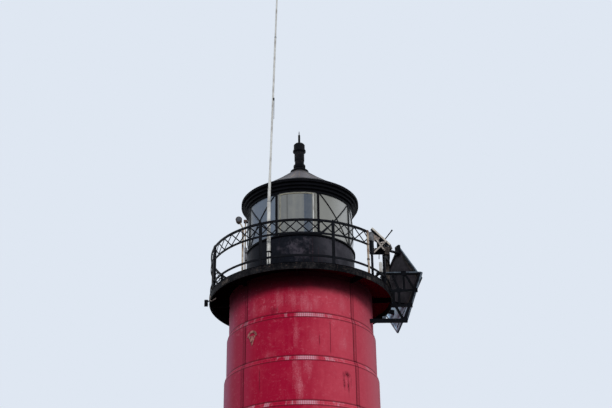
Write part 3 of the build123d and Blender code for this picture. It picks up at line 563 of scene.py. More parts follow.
def makePlain(name, first, second, size, roughness, metallic=0.0, relief=0.0015, gloss=0.3):
    # a two-tone weathered finish: first is the clean colour and second the dirt that settles in patches
    material, add, shader = newMaterial(name)
    spot = add("TexCoord", out="Object")
    clouds = add("TexNoise", {"Vector": spot, "Scale": 1 / size, "Detail": 8.0, "Roughness": 0.65})
    fine = add("TexNoise", {"Vector": spot, "Scale": 12 / size, "Detail": 3.0})
    dirt = add("MapRange", clouds, 0.38, 0.64)
    rough = add("MapRange", dirt, 0, 1, roughness, min(1.0, roughness + 0.2))
    bump = add("Bump", {"Strength": 0.3, "Distance": relief, "Height": fine})
    fill(shader, {"Base Color": coats(add, first, (second, dirt)), "Roughness": rough, "Normal": bump})
    fill(shader, {"Metallic": metallic, "Specular IOR Level": gloss})
    return material


boardShape = {
    "middle": (2.0426, 0.3743, 0.370),      # on the face of its back, over the deck
    "azimuth": 116.0,
    "half": 0.943,      # metres from the middle to a corner
    "turn": 6.9,        # degrees off an upright diamond
    "frame": 0.045,
    "stand": 0.020,
}
# the painted light ends level with the given top height, rising by the slope towards the left of its back
# the lower tint is the pale colour of the painted light
boardLook = {"upper": "#3a3339", "lower": "#cfe6fb", "paintedLightTop": 10.71, "slope": 0.345}


def makeBoardBack(name, upper, dirt):
    # back of the dayboard: its plain dark colour above, and painted light in pale grey towards its lower
    # corner
    look = boardLook
    material = makePlain(name, upper, dirt, 0.4, 0.6, gloss=0.25)
    add, shader, colour = reopened(material)
    spot = add("TexCoord", out="Object")
    x, y, height = add("SeparateXYZ", spot, out=slice(3))
    clouds = add("TexNoise", {"Vector": spot, "Scale": 4.0, "Detail": 6.0})
    reaches = []
    for azimuth in (boardShape["azimuth"], boardShape["azimuth"] + 90):
        way = onRing(1, azimuth)
        reach = add("Math", x, way.x, -way.dot(Vector(boardShape["middle"])), operation="MULTIPLY_ADD")
        reaches.append(add("Math", y, way.y, reach, operation="MULTIPLY_ADD"))
    level = add("Math", reaches[1], -look["slope"], height, operation="MULTIPLY_ADD")
    level = add("Math", clouds, 0.06, level, operation="MULTIPLY_ADD")
    behind = add("Math", reaches[0], 0.004, operation="LESS_THAN")
    # painted light on the back face, below the top height
    washedAndLit = (level, look["paintedLightTop"] + 0.05, look["paintedLightTop"] + 0.02)
    fill(shader, {"Base Color": coats(add, colour, (look["lower"], washedAndLit, behind))})
    return material


redPaint = makeRedPaint()
blackPaint = makeBlackPaint("weatheredBlackPaint")
fasciaPaint = makeBlackPaint("streakyFasciaPaint", "#08080b", "#343233", "#4a3b33", 0.60, 0.6, 0.04)
railPaint = makeBlackPaint("railBlackPaint", "#090a0e", "#1b1c21", "#3a2318", 0.66, 0.5, 0.06)
parapetPaint = makeParapetPaint()
deckPaint = makeDeckPaint()
# red oxide darkened almost to black as painted shade under the gallery
soffitOxideAndShade = makePlain("soffitRedOxideAndShade", "#1c050b", "#0c0306", 0.25, 0.8, gloss=0.03)
roofPaint = makeRoofPaint()
blackestPaint = makeBlackPaint("corniceBlackPaint", "#060609", "#111116", gloss=0.05)
ventPaint = makeBlackPaint("sootyVentPaint", "#0c0d11", "#1f1f23", "#33261f", 0.6, gloss=0.05)
dustyGlass = makeDustyGlass()
sashMetal = makePlain("bareSashAluminium", "#84837c", "#66655f", 0.12, 0.5)
creamTrim = makePlain("creamSashTrim", "#cbc4a8", "#9d967e", 0.08, 0.5)
whitePaint = makeWhitePaint()
creamTube = makePlain("rustStainedCreamTube", "#c0b5a3", "#765847", 0.10, 0.6)
lampHousing = makePlain("rustyLampHousing", "#5a4a42", "#3b2d27", 0.05, 0.6)
greyBoxPaint = makePlain("greyBoxEnamel", "#77777a", "#4c4b4d", 0.09, 0.5)
lensGlass = makePlain("dustyLampLens", "#505257", "#3b3c41", 0.03, 0.4)
flatPaint = makePlain("rubbedBrownFlats", "#544c46", "#1d1b1c", 0.10, 0.6, gloss=0.1)
chippedPaint = makePlain("chippedFasciaPaint", "#5a524d", "#1f1c1d", 0.035, 0.7, gloss=0.05)
galvanised = makePlain("galvanisedSteel", "#a9abb0", "#6f6c6a", 0.06, 0.45, 0.6)
cellGlass = makePlain("solarCellGlass", "#0d1420", "#161d2b", 0.11, 0.15)
boardBack = makeBoardBack("bareBoardBack", boardLook["upper"], "#1d1b20")
# the frame on the board's back gets the same painted light towards the lower corner
boardRimPaint = makeBoardBack("boardRimWithPaintedLight", "#07080b", "#15161b")
trussPaint = makeBlackPaint("trussBlackPaint", "#07080b", "#15161b", "#3a2318", 0.68, 0.55, 0.04)
# light grey for the edges, flanges and board bolt heads that catch the light: painted highlight
edgePaint = makePlain("paintedEdgeHighlights", "#626d78", "#31363d", 0.07, 0.6, gloss=0.1)
paleAluminium = makePlain("paleAluminium", "#ded7cc", "#a79f94", 0.05, 0.5)
armMetal = makePlain("greyArmAluminium", "#bcb3aa", "#655d58", 0.04, 0.5)
wornFascia = makePlain("bareFasciaPatch", "#8d8179", "#4b4340", 0.05, 0.7, gloss=0.1)
eyePlatePaint = makePlain("wornEyePlate", "#b4726c", "#4a1c1c", 0.06, 0.6)
concrete = makePlain("castConcrete", "#9c988f", "#77736b", 0.2, 0.85, relief=0.003)
print("materials made")

dressing = {
    "base_ring": blackPaint, "ground_floor": concrete, "entrance_casing": blackPaint,
    "entrance_door": redPaint, "deck_plate": deckPaint, "fascia_ring": fasciaPaint,
    "deck_joists": soffitOxideAndShade, "parapet_wall": parapetPaint, "parapet_hatch": blackPaint,
    # the sill ring takes the blackest paint as painted shade
    "sill_ring": blackestPaint, "lantern_glass": dustyGlass, "mullions": blackestPaint,
    "diagonal_bars": railPaint, "bay_sash": sashMetal, "cornice_ring": blackestPaint,
    "roof_shell": roofPaint, "vent_base": blackestPaint, "vent_cap": ventPaint,
    "lightning_rod": blackestPaint, "railing_posts": railPaint, "top_rail": railPaint,
    "lower_rails": railPaint, "lattice_panels": railPaint, "mast_lower": whitePaint,
    "mast_upper": whitePaint, "lamp_pole": creamTube, "lamp_head": lampHousing,
    "equipment_stands": railPaint, "equipment_boxes": greyBoxPaint, "solar_panel": cellGlass,
    "dayboard": boardBack, "dayboard_truss": trussPaint, "eye_plate": eyePlatePaint,
}
for name, node in nodes.items():
    node.data.materials.clear()
    node.data.materials.append(redPaint if name.startswith("tower_course") else dressing[name])
print("frame dressed")

# Rivets round each sloping seam, and butt straps over the upright seams
rivetLook = {"pitch": 1.5, "radius": 0.011, "crown": 0.6, "slope": 0.04}
strapLook = {
    "azimuth": 43.0, "width": 0.072, "thickness": 0.006, "edge": 0.0015, "clear": 0.012, "topClear": 0.13,
    "step": 0.055, "gauge": 0.022, "rivet": 0.009,
}
courseNames = sorted(name for name in nodes if name.startswith("tower_course"))


def rivetHead(radius, place, tilt=90.0):
    startClean()
    bpy.ops.mesh.primitive_uv_sphere_add(segments=8, ring_count=6, radius=radius)
    head = bpy.context.object
    bpy.ops.object.mode_set(mode="EDIT")
    bpy.ops.mesh.bisect(plane_co=(0, 0, 0), plane_no=(0, 0, 1), clear_inner=True, use_fill=True)
    bpy.ops.mesh.select_all(action="SELECT")
    bpy.ops.transform.resize(value=(1, 1, rivetLook["crown"]))
    bpy.ops.object.mode_set(mode="OBJECT")
    bpy.ops.object.shade_smooth()
    return moved(head, place, Matrix.Rotation(math.radians(tilt), 4, "X"))


def makeSeamRivets():
    shoulder, slope, pitch = courseData["shoulder"], rivetLook["slope"], rivetLook["pitch"]
    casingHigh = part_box("entrance_casing")[1]
    for name in courseNames[:-1]:
        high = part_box(name)[1]
        place = (0, -(high.x - slope / 2), high.z - shoulder / 2)
        head = rivetHead(rivetLook["radius"], place, 90 - math.degrees(math.atan2(slope, shoulder)))
        aroundAxis(head, pitch)
        if high.z < casingHigh.z + 0.05:
            pick(head)
            bpy.ops.object.mode_set(mode="EDIT")
            bpy.ops.mesh.select_mode(type="FACE")
            spread = math.degrees(math.asin((casingHigh.x + 0.015) / high.x))
            spread = math.tan(math.radians((round(spread / pitch) + 0.5) * pitch))
            chooseFaces(head, lambda c, n: c.y > 0 and abs(c.x) < c.y * spread)
            bpy.ops.mesh.delete(type="FACE")
        finished(head, "seamRivets" + name[-2:], redPaint)


def makeStraps():
    width, thick, clear, step = (strapLook[key] for key in ("width", "thickness", "clear", "step"))
    for name in courseNames:
        low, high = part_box(name)
        last = name == courseNames[-1]
        top = high.z - (strapLook["topClear"] if last else courseData["shoulder"] + clear)
        bottom = low.z + clear
        startClean()
        bpy.ops.mesh.primitive_cube_add(size=1.0)
        strap = bpy.context.object
        bpy.ops.object.mode_set(mode="EDIT")
        bpy.ops.transform.resize(value=(width, thick, top - bottom))
        bpy.ops.mesh.select_mode(type="FACE")
        chooseFaces(strap, lambda c, n: n.y < -0.9)
        bpy.ops.mesh.bevel(offset=strapLook["edge"], segments=1, affect="EDGES")
        bpy.ops.object.mode_set(mode="OBJECT")
        strap.location = (0, -(high.x + thick / 2 - 0.001), (top + bottom) / 2)
        settle(strap)
        parts = [strap]
        for side in (-strapLook["gauge"], strapLook["gauge"]):
            head = rivetHead(strapLook["rivet"], (side, -(high.x + thick - 0.0015), bottom + 0.03))
            array = head.modifiers.new("up", "ARRAY")
            array.use_relative_offset = False
            array.use_constant_offset = True
            array.constant_offset_displace = (0, 0, step)
            array.count = int((top - bottom - 0.04) / step)
            applyAll(head)
            parts.append(head)
        strap = turned(joined(parts), strapLook["azimuth"])
        aroundAxis(strap, 90)
        finished(strap, "seamStraps" + name[-2:], redPaint)


makeSeamRivets()
makeStraps()
print("seams riveted")

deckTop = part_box("deck_plate")[1].z
fasciaLow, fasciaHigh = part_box("fascia_ring")


# Mast: collar, a dark plate as painted shade for the slot in its foot, and a small cleat with its lanyard
mastLook = {
    "foot": (-0.6175, -1.5839), "radius": 0.037, "collar": 0.34, "slotTop": 0.318, "slotLow": 0.075,
    "slotWidth": 0.015, "cleat": (-0.521, -1.606, 14.60), "lanyard": 0.49, "lean": 1.85,
    "joints": ((12.175, 0.0345), (16.17, 0.0205)),      # height and radius
}


def makeMastFittings():
    look = mastLook
    x, y = look["foot"]
    level, radius = deckTop + look["collar"], look["radius"]
    collar = stud((x, y, level - 0.014), (0, 0, 0.028), radius + 0.012, 20)
    clamp = plate((0.02, 0.05, 0.034), (x + radius + 0.014, y - 0.02, level))
    bolt = stud((x + 0.05, y - 0.05, level), (0, 0.07, 0), 0.005, 8)
    tall = look["slotTop"] - look["slotLow"]
    level = deckTop + look["slotLow"] + tall / 2
    # a dark plate on the mast's face stands in as painted shade for the slot
    slot = plate((look["slotWidth"], 0.006, tall), (x, y - radius - 0.001, level))
    finished([collar, clamp, bolt, slot], "mastClamp", trussPaint)
    bolts = aroundAxis(stud((0.054, 0, 0), (0, 0, 0.016), 0.008, 6), 90)
    moved(bolts, (x, y, deckTop + 0.014), Matrix.Identity(4))
    cleatPlace = Vector(look["cleat"])
    cleat = plate((0.03, 0.03, 0.05), cleatPlace)
    end = cleatPlace + Vector((0.002, 0, -look["lanyard"]))
    lanyard = rodBetween(cleatPlace + Vector((0.01, 0, -0.02)), end, 0.004, 6)
    finished([bolts, cleat, lanyard], "mastFittings", trussPaint)
    lean = math.radians(look["lean"])
    direction = Vector((math.sin(lean), 0, math.cos(lean)))
    rings = []
    for height, radius in look["joints"]:
        centre = Vector((x + (height - look["joints"][0][0]) * math.tan(lean), y, height))
        rings.append(stud(centre + 0.004 * direction, 0.022 * direction, radius + 0.004, 16))
    finished(rings, "mastJointRings", galvanised)


# Rails: upright flats inside the rails at both ends of the gallery
flatLook = {
    "azimuths": (-87.0, -80.5, -75.0, 74.0, 79.5, 85.0), "radius": 1.815, "size": (0.012, 0.056, 0.875),
}


def makeRailFlats():
    flats = []
    for azimuth in flatLook["azimuths"]:
        place = onRing(flatLook["radius"], azimuth, deckTop + flatLook["size"][2] / 2 + 0.002)
        flats.append(plate(flatLook["size"], place, azimuth))
    finished(flats, "railFlats", flatPaint)


# Shoes at the feet of the rail posts, and lugs on the face of the rails, at their heights over the deck
postLook = {"azimuth": 20.3, "radius": 1.858, "face": 1.8825, "rails": (0.145, 0.628, 0.908)}


def makePostFittings():
    look = postLook
    parts = [plate((0.070, 0.058, 0.014), (0, 0.006 - look["radius"], deckTop + 0.0075))]
    for rail in look["rails"]:
        for side in (-0.014, 0.014):
            parts.append(stud((side, -look["face"], deckTop + rail), (0, -0.0065, 0), 0.006, 8))
    ring = turned(joined(parts), look["azimuth"])
    aroundAxis(ring, 45)
    finished(ring, "postFittings", railPaint)


# Solar panel: light frame, cell lines, struts to its stand, and the small things hung about it
panelLook = {
    "middle": (1.701, -0.457, 1.164), "tilt": 47.0, "lean": 14.0, "size": (0.505, 0.340),
    "frame": 0.012, "rim": 0.032, "rail": 0.040, "lip": 0.018, "cells": (6, 4),
    "lines": (0.003, 0.002, 0.0012),        # widths of the long and the short lines, and their depth
    "box": ((0.36, 0.26, 0.05), (-0.05, -0.01, -0.069)),        # size, and place under the panel
}


def onPanel(things):
    # pieces made flat at the origin go to the panel's place and slope
    tilt, lean = math.radians(panelLook["tilt"]), math.radians(panelLook["lean"])
    slope = Vector((math.cos(tilt), 0, -math.sin(tilt)))
    normal = Vector((math.sin(tilt), -math.tan(lean), math.cos(tilt))).normalized()
    slope = (slope - slope.dot(normal) * normal).normalized()
    turn = Matrix((slope, normal.cross(slope), normal)).transposed().to_4x4()
    return moved(joined(things), Vector(panelLook["middle"]) + Vector((0, 0, deckTop)), turn)


def makePanelFrame():
    look = panelLook
    (length, width), wall, rim, rail, lip = (look[key] for key in ("size", "frame", "rim", "rail", "lip"))
    sides, rails, lines = [], [], []
    for side in (-0.5, 0.5):
        across = side * (width + wall)
        sides.append(plate((length + 2 * wall, wall, rim), (0, across, 0.003 - rim / 2)))
        sides.append(plate((wall, width, rim), (side * (length + wall), 0, 0.003 - rim / 2)))
        sides.append(plate((length, lip, 0.003), (0, side * (width - lip), 0.0018)))
        sides.append(plate((lip, width - 2 * lip, 0.003), (side * (length - lip), 0, 0.0018)))
        rails.append(plate((length + wall, wall, rail), (0, across, 0.003 - rim - rail / 2)))
    finished(onPanel(sides), "panelFrame", paleAluminium)
    (columns, rows), (thick, thin, depth) = look["cells"], look["lines"]
    for line in range(1, columns):
        lines.append(plate((thick, width - 2 * lip, depth), ((line / columns - 0.5) * length, 0, 0.0008)))
    for line in range(1, rows):
        lines.append(plate((length - 2 * lip, thin, depth), (0, (line / rows - 0.5) * width, 0.0008)))
    finished(onPanel(lines), "panelCellLines", galvanised)
    finished(onPanel(rails + [plate(*look["box"])]), "panelRails", trussPaint)


armLook = {
    # light flats bolted across the front of the rail post, each with a dark one behind it as painted shade
    # along its edges: start, end, width
    "flats": (
        ((1.535, -0.86, 11.690), (1.708, -0.86, 11.430), 0.031),
        ((1.748, -0.86, 11.652), (1.478, -0.86, 11.380), 0.031),
        ((1.615, -0.87, 11.589), (1.724, -0.87, 11.632), 0.024),
        ((1.400, -0.85, 11.415), (1.505, -0.85, 11.480), 0.024),
    ),
    # the dark flat behind each light one is painted shade
    "backing": 0.020,       # of the dark flat that shows past each light one
    "brace": ((1.70, -0.45, 11.70), (1.65, -0.72, 11.51), 0.02, 0.02),
    "hanger": ((1.50, -0.80, 11.72), (1.56, -0.62, 11.80), 0.012, 0.04),
    "sidePlate": ((1.405, -0.80, 11.820), (1.590, -0.80, 11.690), 0.010, 0.125),
    # boxes: size, place and azimuth
    "blocks": (((0.300, 0.05, 0.130), (1.600, -0.74, 11.470)),
               ((0.150, 0.05, 0.170), (1.635, -0.73, 11.600))),
    "rod": ((1.599, -0.74, 11.44), (1.591, -0.74, 11.297), 0.008, 8),
    "whiteBox": ((0.058, 0.05, 0.215), onRing(1.8935, 57.6, deckTop + 0.250), 57.6),
    "clampBox": ((0.100, 0.07, 0.165), (1.755, -0.80, 11.445)),
    "uBolts": ((1.688, 11.458), (1.688, 11.590)),
}


def makePanelArms():
    look = armLook
    flats, backs = [strut(*look["brace"])], []
    for start, end, width in look["flats"]:
        flats.append(strut(start, end, 0.012, width))
        start, end = (Vector(place) + Vector((0, 0.013, -0.004)) for place in (start, end))
        # a dark copy behind each light flat, as painted shade along its edges
        backs.append(strut(start, end, 0.008, width + look["backing"]))
    flats += [stud((x, -0.885, height), (0, 0.095, 0), 0.010, 10) for x, height in look["uBolts"]]
    finished(flats, "panelArms", armMetal)
    finished([strut(*look["sidePlate"]), strut(*look["hanger"])], "panelSidePlate", wornFascia)
    backs += [plate(*block) for block in look["blocks"]] + [rodBetween(*look["rod"])]
    finished(backs, "panelArmBacks", trussPaint)
    finished(plate(*look["clampBox"]), "postClampBox", flatPaint)
    finished(plate(*look["whiteBox"]), "smallWhiteBox", whitePaint)


# Rusty clamps on the light stand, where the upper rails end
standLook = {"azimuth": 46.3, "radius": 1.858, "clamps": (0.30, 0.628, 0.905), "clamp": 0.029}


def makeStandClamps():
    azimuth, clamps = standLook["azimuth"], []
    for rise in standLook["clamps"]:
        middle = onRing(standLook["radius"], azimuth, deckTop + rise)
        clamps.append(stud(middle - Vector((0, 0, 0.014)), (0, 0, 0.028), standLook["clamp"], 16))
        clamps.append(plate((0.034, 0.014, 0.028), middle + onRing(0.034, azimuth - 70), azimuth))
    finished(clamps, "standClamps", lampHousing)


# Lamp: lens, hoops and bracket; lids on the small boxes, each with its width, depth, height and rise
lampLook = {
    "azimuth": -39.9, "ring": 1.775, "offset": -0.084, "rise": 1.155, "radius": 0.060, "length": 0.095,
    "sensor": 1.106, "boxes": ((0.056, 0.048, 0.097, 0.468), (0.050, 0.044, 0.125, 0.325)),
}


def makeLampParts():
    look = lampLook
    radius = look["radius"]
    x, y, _ = onRing(look["ring"], look["azimuth"])
    centre = Vector((x + look["offset"], y, deckTop + look["rise"]))
    front = centre - Vector((0, look["length"] / 2, 0))
    hoop = stud(front + Vector((0, 0.014, 0)), (0, -0.018, 0), radius + 0.006, 24)
    back = stud(centre + Vector((0, 0.036, 0)), (0, 0.024, 0), radius * 0.7, 20)
    grip = plate((0.05, 0.05, 0.02), centre - Vector((0, 0, radius + 0.006)))
    finished([hoop, back, grip], "lampHoops", lampHousing)
    lens = stud(front - Vector((0, 0.003, 0)), (0, -0.005, 0), radius - 0.008, 24)
    finished(lens, "lampLens", lensGlass)
    lids = [stud((x + 0.05, y, deckTop + look["sensor"] - 0.03), (0, 0, 0.022), 0.02)]
    for width, depth, height, rise in look["boxes"]:
        place = (x + 0.065, y - 0.0145 - depth - 0.003, deckTop + rise)
        lids.append(plate((width + 0.006, 0.006, height + 0.006), place))
    finished(lids, "boxLids", greyBoxPaint)


# Dayboard: angle frame on its back, with a light outer edge that is a painted highlight, a rubbed inner band
# and bolt heads
boardTrim = {
    "missing": 0.24,        # share of the first side that has lost its angle
    "edge": (0.034, 0.008), "bandInset": 0.075, "bandStart": 0.2, "band": (0.008, 0.040), "bolts": 8,
}


def boardPoint(x, y, z):
    outward, leftward = onRing(1, boardShape["azimuth"]), onRing(1, boardShape["azimuth"] + 90)
    middle = Vector(boardShape["middle"]) + Vector((0, 0, deckTop))
    return middle + leftward * x + Vector((0, 0, y)) + outward * z


def boardCorner(number, inset):
    angle = math.radians(90 * number + 90 + boardShape["turn"])
    reach = boardShape["half"] - inset * math.sqrt(2)
    return reach * math.cos(angle), reach * math.sin(angle)


def boardSide(number, inset, height, section, first=0.0):
    # a bar along one side, first being the share of it that is left out
    start, end = Vector(boardCorner(number, inset)), Vector(boardCorner(number + 1, inset))
    return strut(boardPoint(*start.lerp(end, first), height), boardPoint(*end, height), *section)


def makeBoardFrame():
    section, inset = (boardShape["stand"], boardShape["frame"]), boardShape["frame"] / 2
    bars = [boardSide(number, inset, -0.012, section) for number in (1, 2, 3)]
    bars.append(boardSide(0, inset, -0.012, section, boardTrim["missing"]))
    finished(bars, "boardFrame", boardRimPaint)
    edges = [boardSide(number, -0.004, 0.008, boardTrim["edge"]) for number in range(4)]
    finished(edges, "boardEdges", edgePaint)
    bands = []
    for number, first in ((0, boardTrim["bandStart"]), (1, 0.0)):
        bands.append(boardSide(number, boardTrim["bandInset"], -0.006, boardTrim["band"], first))
    finished(bands, "boardInnerBands", flatPaint)
    heads = []
    for number in range(4):
        start, end = Vector(boardCorner(number, inset)), Vector(boardCorner(number + 1, inset))
        for step in range(1, boardTrim["bolts"]):
            share = step / boardTrim["bolts"]
            if number == 0 and share < 0.3 or number == 3 and share > 0.8:
                continue
            spot = start.lerp(end, share)
            heads.append(rodBetween(boardPoint(*spot, -0.021), boardPoint(*spot, -0.029), 0.008, 6))
    finished(heads, "boardBolts", edgePaint)


# Truss: light flanges on its outer and top bars, their light colour a painted highlight, and plates at its
# joints
# y and front are planes, top and foot are over the deck, and the rest is X of its outer bar
trussLook = {
    "y": -0.5, "front": -0.52, "top": 0.338, "foot": -0.688, "outerTop": 2.44, "outerFoot": 2.071,
    "edge": 0.08,
    "joints": ((2.088, 0.338), (1.980, -0.040), (2.306, -0.040), (2.186, -0.368), (2.071, -0.688),
               (1.870, -0.368)),
}


def makeTrussTrim():
    look = trussLook
    y, reach, top, foot = look["y"], look["outerTop"], deckTop + look["top"], deckTop + look["foot"]
    high, low = Vector((reach, y, top + 0.03)), Vector((look["outerFoot"], y, foot - 0.03))
    way = (high - low).normalized()
    side = Vector((way.z, 0, -way.x)) * (look["edge"] / 2 - 0.010)
    flanges = [strut(low + side, high + side, 0.052, 0.030)]
    flanges.append(strut((1.55, y, top + 0.018), (reach + 0.02, y, top + 0.018), 0.052, 0.022))
    flanges.append(plate((0.075, 0.014, 0.045), (1.66, y - 0.028, foot + 0.062)))
    finished(flanges, "trussFlanges", edgePaint)
    plates = []
    for x, rise in look["joints"]:
        plates.append(plate((0.105, 0.006, 0.095), (x, look["front"] - 0.004, deckTop + rise)))
        for side in (-0.03, 0.03):
            plates.append(stud((x + side, look["front"] - 0.006, deckTop + rise), (0, -0.010, 0), 0.008, 6))
    finished(plates, "trussPlates", trussPaint)


# Lantern: white bead at the right of the wide pane, and the sheet skirt that covers the roof's top
# bead: azimuth, radius, width; trim: two azimuths, width; skirt: radii and heights; laps: radii and depths
lanternLook = {
    "bead": (14.2, 1.1145, 0.020), "trim": (-21.6, 14.2, 0.018), "trimSteps": 12,
    "skirt": ((0.197, 13.728), (0.134, 13.790)), "laps": ((0.199, 0.012), (0.150, 0.04)),
}


def makeLanternParts():
    look = lanternLook
    azimuth, radius, width = look["bead"]
    low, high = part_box("lantern_glass")
    middle, tall, head = (high.z + low.z) / 2, high.z - low.z - 0.03, high.z - 0.022
    bead = plate((width, 0.012, tall), onRing(radius, azimuth, middle), azimuth)
    finished(bead, "glazingBead", whitePaint)
    first, last, thin = look["trim"]
    trim = [plate((thin, 0.012, tall), onRing(radius, first, middle), first)]
    step = (last - first) / look["trimSteps"]
    for number in range(look["trimSteps"]):
        start = first + number * step
        trim.append(strut(onRing(radius, start, head), onRing(radius, start + step, head), 0.010, thin))
    finished(trim, "sashTrim", creamTrim)
    (wide, foot), (narrow, top) = look["skirt"]
    startClean()
    bpy.ops.mesh.primitive_cone_add(vertices=48, radius1=wide, radius2=narrow, depth=top - foot)
    skirt = moved(bpy.context.object, (0, 0, (top + foot) / 2), Matrix.Identity(4))
    laps = [stud((0, 0, foot - deep), (0, 0, deep), radius, 48) for radius, deep in look["laps"]]
    finished([skirt] + laps, "ventSkirt", blackestPaint)


# Doors: strap hinges, handles, and rivets round the leaf
doorLook = {
    "hinges": (0.28, 1.02, 1.76), "hinge": (0.34, 0.008, 0.055), "hingeBolts": (0.08, 0.18, 0.30),
    "handle": 1.00, "leafRivets": 0.11, "inset": 0.035,
}
# hinge and handle are azimuths, and straps and middle are over the deck
hatchLook = {"radius": 1.126, "hinge": 188.9, "handle": 166.4, "straps": (0.193, 0.727), "middle": 0.46}


def makeDoorFittings():
    look = doorLook
    low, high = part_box("entrance_door")
    face, pitch, inset, iron = high.y, look["leafRivets"], look["inset"], []
    for rise in look["hinges"]:
        z = low.z + rise
        iron.append(plate(look["hinge"], (low.x + 0.185, face + 0.003, z)))
        iron.append(stud((low.x + 0.012, face + 0.010, z - 0.06), (0, 0, 0.12), 0.013))
        for step in look["hingeBolts"]:
            iron.append(stud((low.x + step, face + 0.005, z), (0, 0.009, 0), 0.011, 6))
    x, z = high.x - 0.08, low.z + look["handle"]
    iron.append(plate((0.05, 0.008, 0.21), (x, face + 0.003, z)))
    iron.append(stud((x, face, z + 0.03), (0, 0.055, 0), 0.011))
    iron.append(stud((x, face + 0.048, z + 0.03), (-0.13, 0, 0), 0.010))
    iron.append(stud((x, face + 0.004, z - 0.06), (0, 0.008, 0), 0.010))
    finished(iron, "doorIronwork", blackPaint)
    tall, wide = high.z - low.z - 2 * inset, high.x - low.x - 2 * inset
    columns = int(wide / pitch)
    spots = [(x, low.z + inset + step * pitch) for step in range(int(tall / pitch) + 1)
             for x in (low.x + inset, high.x - inset)]
    spots += [(low.x + inset + step * wide / columns, z) for step in range(1, columns)
              for z in (low.z + inset, high.z - inset)]
    heads = [stud((x, face - 0.001, z), (0, 0.007, 0), 0.009, 6) for x, z in spots]
    finished(heads, "doorRivets", redPaint)


def makeHatchFittings():
    look = hatchLook
    radius, level, iron = look["radius"], deckTop + look["middle"], []
    for rise in look["straps"]:
        iron.append(stud(onRing(radius + 0.016, look["hinge"], deckTop + rise - 0.045), (0, 0, 0.09), 0.012))
    for side in (-0.07, 0.07):
        root, grip = (onRing(radius + out, look["handle"], level + side) for out in (-0.004, 0.050))
        iron.append(rodBetween(root, grip, 0.008, 10))
    iron.append(stud(onRing(radius + 0.050, look["handle"], level - 0.085), (0, 0, 0.17), 0.009, 10))
    finished(iron, "hatchIronwork", blackPaint)


# Bolt heads round the parapet's foot and head, and round the base ring: degrees between them, radius, places
ringBolts = {"parapet": (4.0, 0.008, 1.1255, (0.028, 0.905)), "base": (7.5, 0.019, 0.030)}


def makeRingBolts():
    pitch, radius, wall, rises = ringBolts["parapet"]
    heads = [rivetHead(radius, (0, -wall, deckTop + rise)) for rise in rises]
    finished([aroundAxis(head, pitch) for head in heads], "parapetRivets", blackPaint)
    pitch, radius, height = ringBolts["base"]
    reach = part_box("base_ring")[1].x
    head = turned(stud((0, 0.001 - reach, height), (0, -0.013, 0), radius, 6), pitch / 2)
    finished(aroundAxis(head, pitch), "baseRingBolts", blackPaint)


# Fascia: rivets, worn patches, and the block and bent strap at its left end
fasciaLook = {
    "pitch": 2.5, "rivet": 0.011, "rows": (0.022, 0.109),
    # azimuth, rise and size
    "patches": ((-52.5, 0.050, (0.22, 0.008, 0.075)), (45.0, 0.02, (0.11, 0.008, 0.06))),
    "block": ((0.07, 0.075, 0.13), (-1.930, -0.20, 10.600), -84),       # size, place, azimuth
    "strap": ((-1.830, -0.447, 10.648), (-1.834, -0.50, 10.535), (-1.780, -0.60, 10.473),
              (-1.692, -0.75, 10.475)),
}


def makeFasciaParts():
    look, rows, patches = fasciaLook, [], []
    for rise in look["rows"]:
        head = rivetHead(look["rivet"], (0, 0.001 - fasciaHigh.x, fasciaLow.z + rise))
        rows.append(aroundAxis(head, look["pitch"]))
    finished(rows, "fasciaRivets", blackPaint)
    bends = [rodBetween(start, end, 0.009, 8) for start, end in zip(look["strap"], look["strap"][1:])]
    finished(bends, "fasciaStrap", wornFascia)
    for azimuth, rise, size in look["patches"]:
        patches.append(plate(size, onRing(fasciaHigh.x + 0.002, azimuth, fasciaLow.z + rise), azimuth))
    finished(patches, "fasciaPatches", chippedPaint)
    link = rodBetween(look["block"][1], look["strap"][1], 0.012, 8)
    finished([plate(*look["block"]), link], "fasciaBlock", trussPaint)


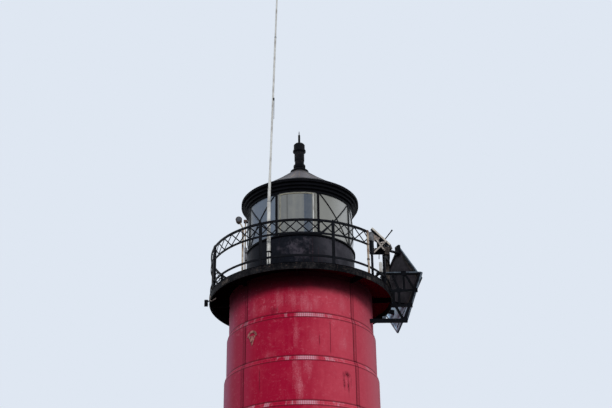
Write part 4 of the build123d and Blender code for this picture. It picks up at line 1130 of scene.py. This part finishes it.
makeMastFittings()
makeRailFlats()
makePostFittings()
print("mast and rails fitted")
makePanelFrame()
makePanelArms()
makeStandClamps()
makeLampParts()
print("gallery equipment fitted")
makeLanternParts()
makeDoorFittings()
makeHatchFittings()
makeRingBolts()
print("lantern, doors and ring bolts fitted")
makeBoardFrame()
makeTrussTrim()
makeFasciaParts()
print("board, truss and fascia fitted")

# Stage, light and background
stageLook = {
    "floor": "#d9dbdd", "floorDark": "#26272a", "sky": "#dfe7f2", "horizonLight": 0.6, "zenithLight": 1.0,
    "sun": 2.1, "sunSize": 16.0, "sunAzimuth": 6.0, "sunHeight": 29.0,
}


def seenPlainly(add):
    # 1 where the camera looks, also in a mirror or through glass, and 0 where the light only bounces
    rays = ("Camera", "Glossy", "Transmission")
    camera, glossy, clear = (add("LightPath", out=f"Is {ray} Ray") for ray in rays)
    return add("Math", add("Math", camera, glossy, operation="MAXIMUM"), clear, operation="MAXIMUM")


def makeStage():
    startClean()
    bpy.ops.mesh.primitive_plane_add(size=300.0)
    floor = bpy.context.object
    floor.name = "studioFloor"
    material, add, shader = newMaterial("paleStudioFloor")
    colour = coats(add, stageLook["floorDark"], (stageLook["floor"], seenPlainly(add)))
    fill(shader, {"Base Color": colour, "Roughness": 0.9})
    floor.data.materials.append(material)


def makeWorld():
    world = bpy.data.worlds.new("paleSky")
    bpy.context.scene.world = world
    world.use_nodes = True
    add = partial(addNode, world.node_tree)
    up = add("SeparateXYZ", add("TexCoord", out="Generated"), out=2)
    light = cover(add, (up, 0.0, 0.9, stageLook["horizonLight"], stageLook["zenithLight"]))
    strength = add("Mix", {0: seenPlainly(add), 2: light, 3: 1.0}, data_type="FLOAT")
    fill(world.node_tree.nodes["Background"], {"Color": stageLook["sky"], "Strength": strength})


def makeSun():
    startClean()
    turn = math.radians(90 - stageLook["sunHeight"]), 0.0, math.radians(stageLook["sunAzimuth"])
    bpy.ops.object.light_add(type="SUN", rotation=turn)
    sun = bpy.context.object
    sun.data.energy = stageLook["sun"]
    sun.data.angle = math.radians(stageLook["sunSize"])
    sun.visible_glossy = False


makeStage()
makeWorld()
makeSun()
print("stage set")
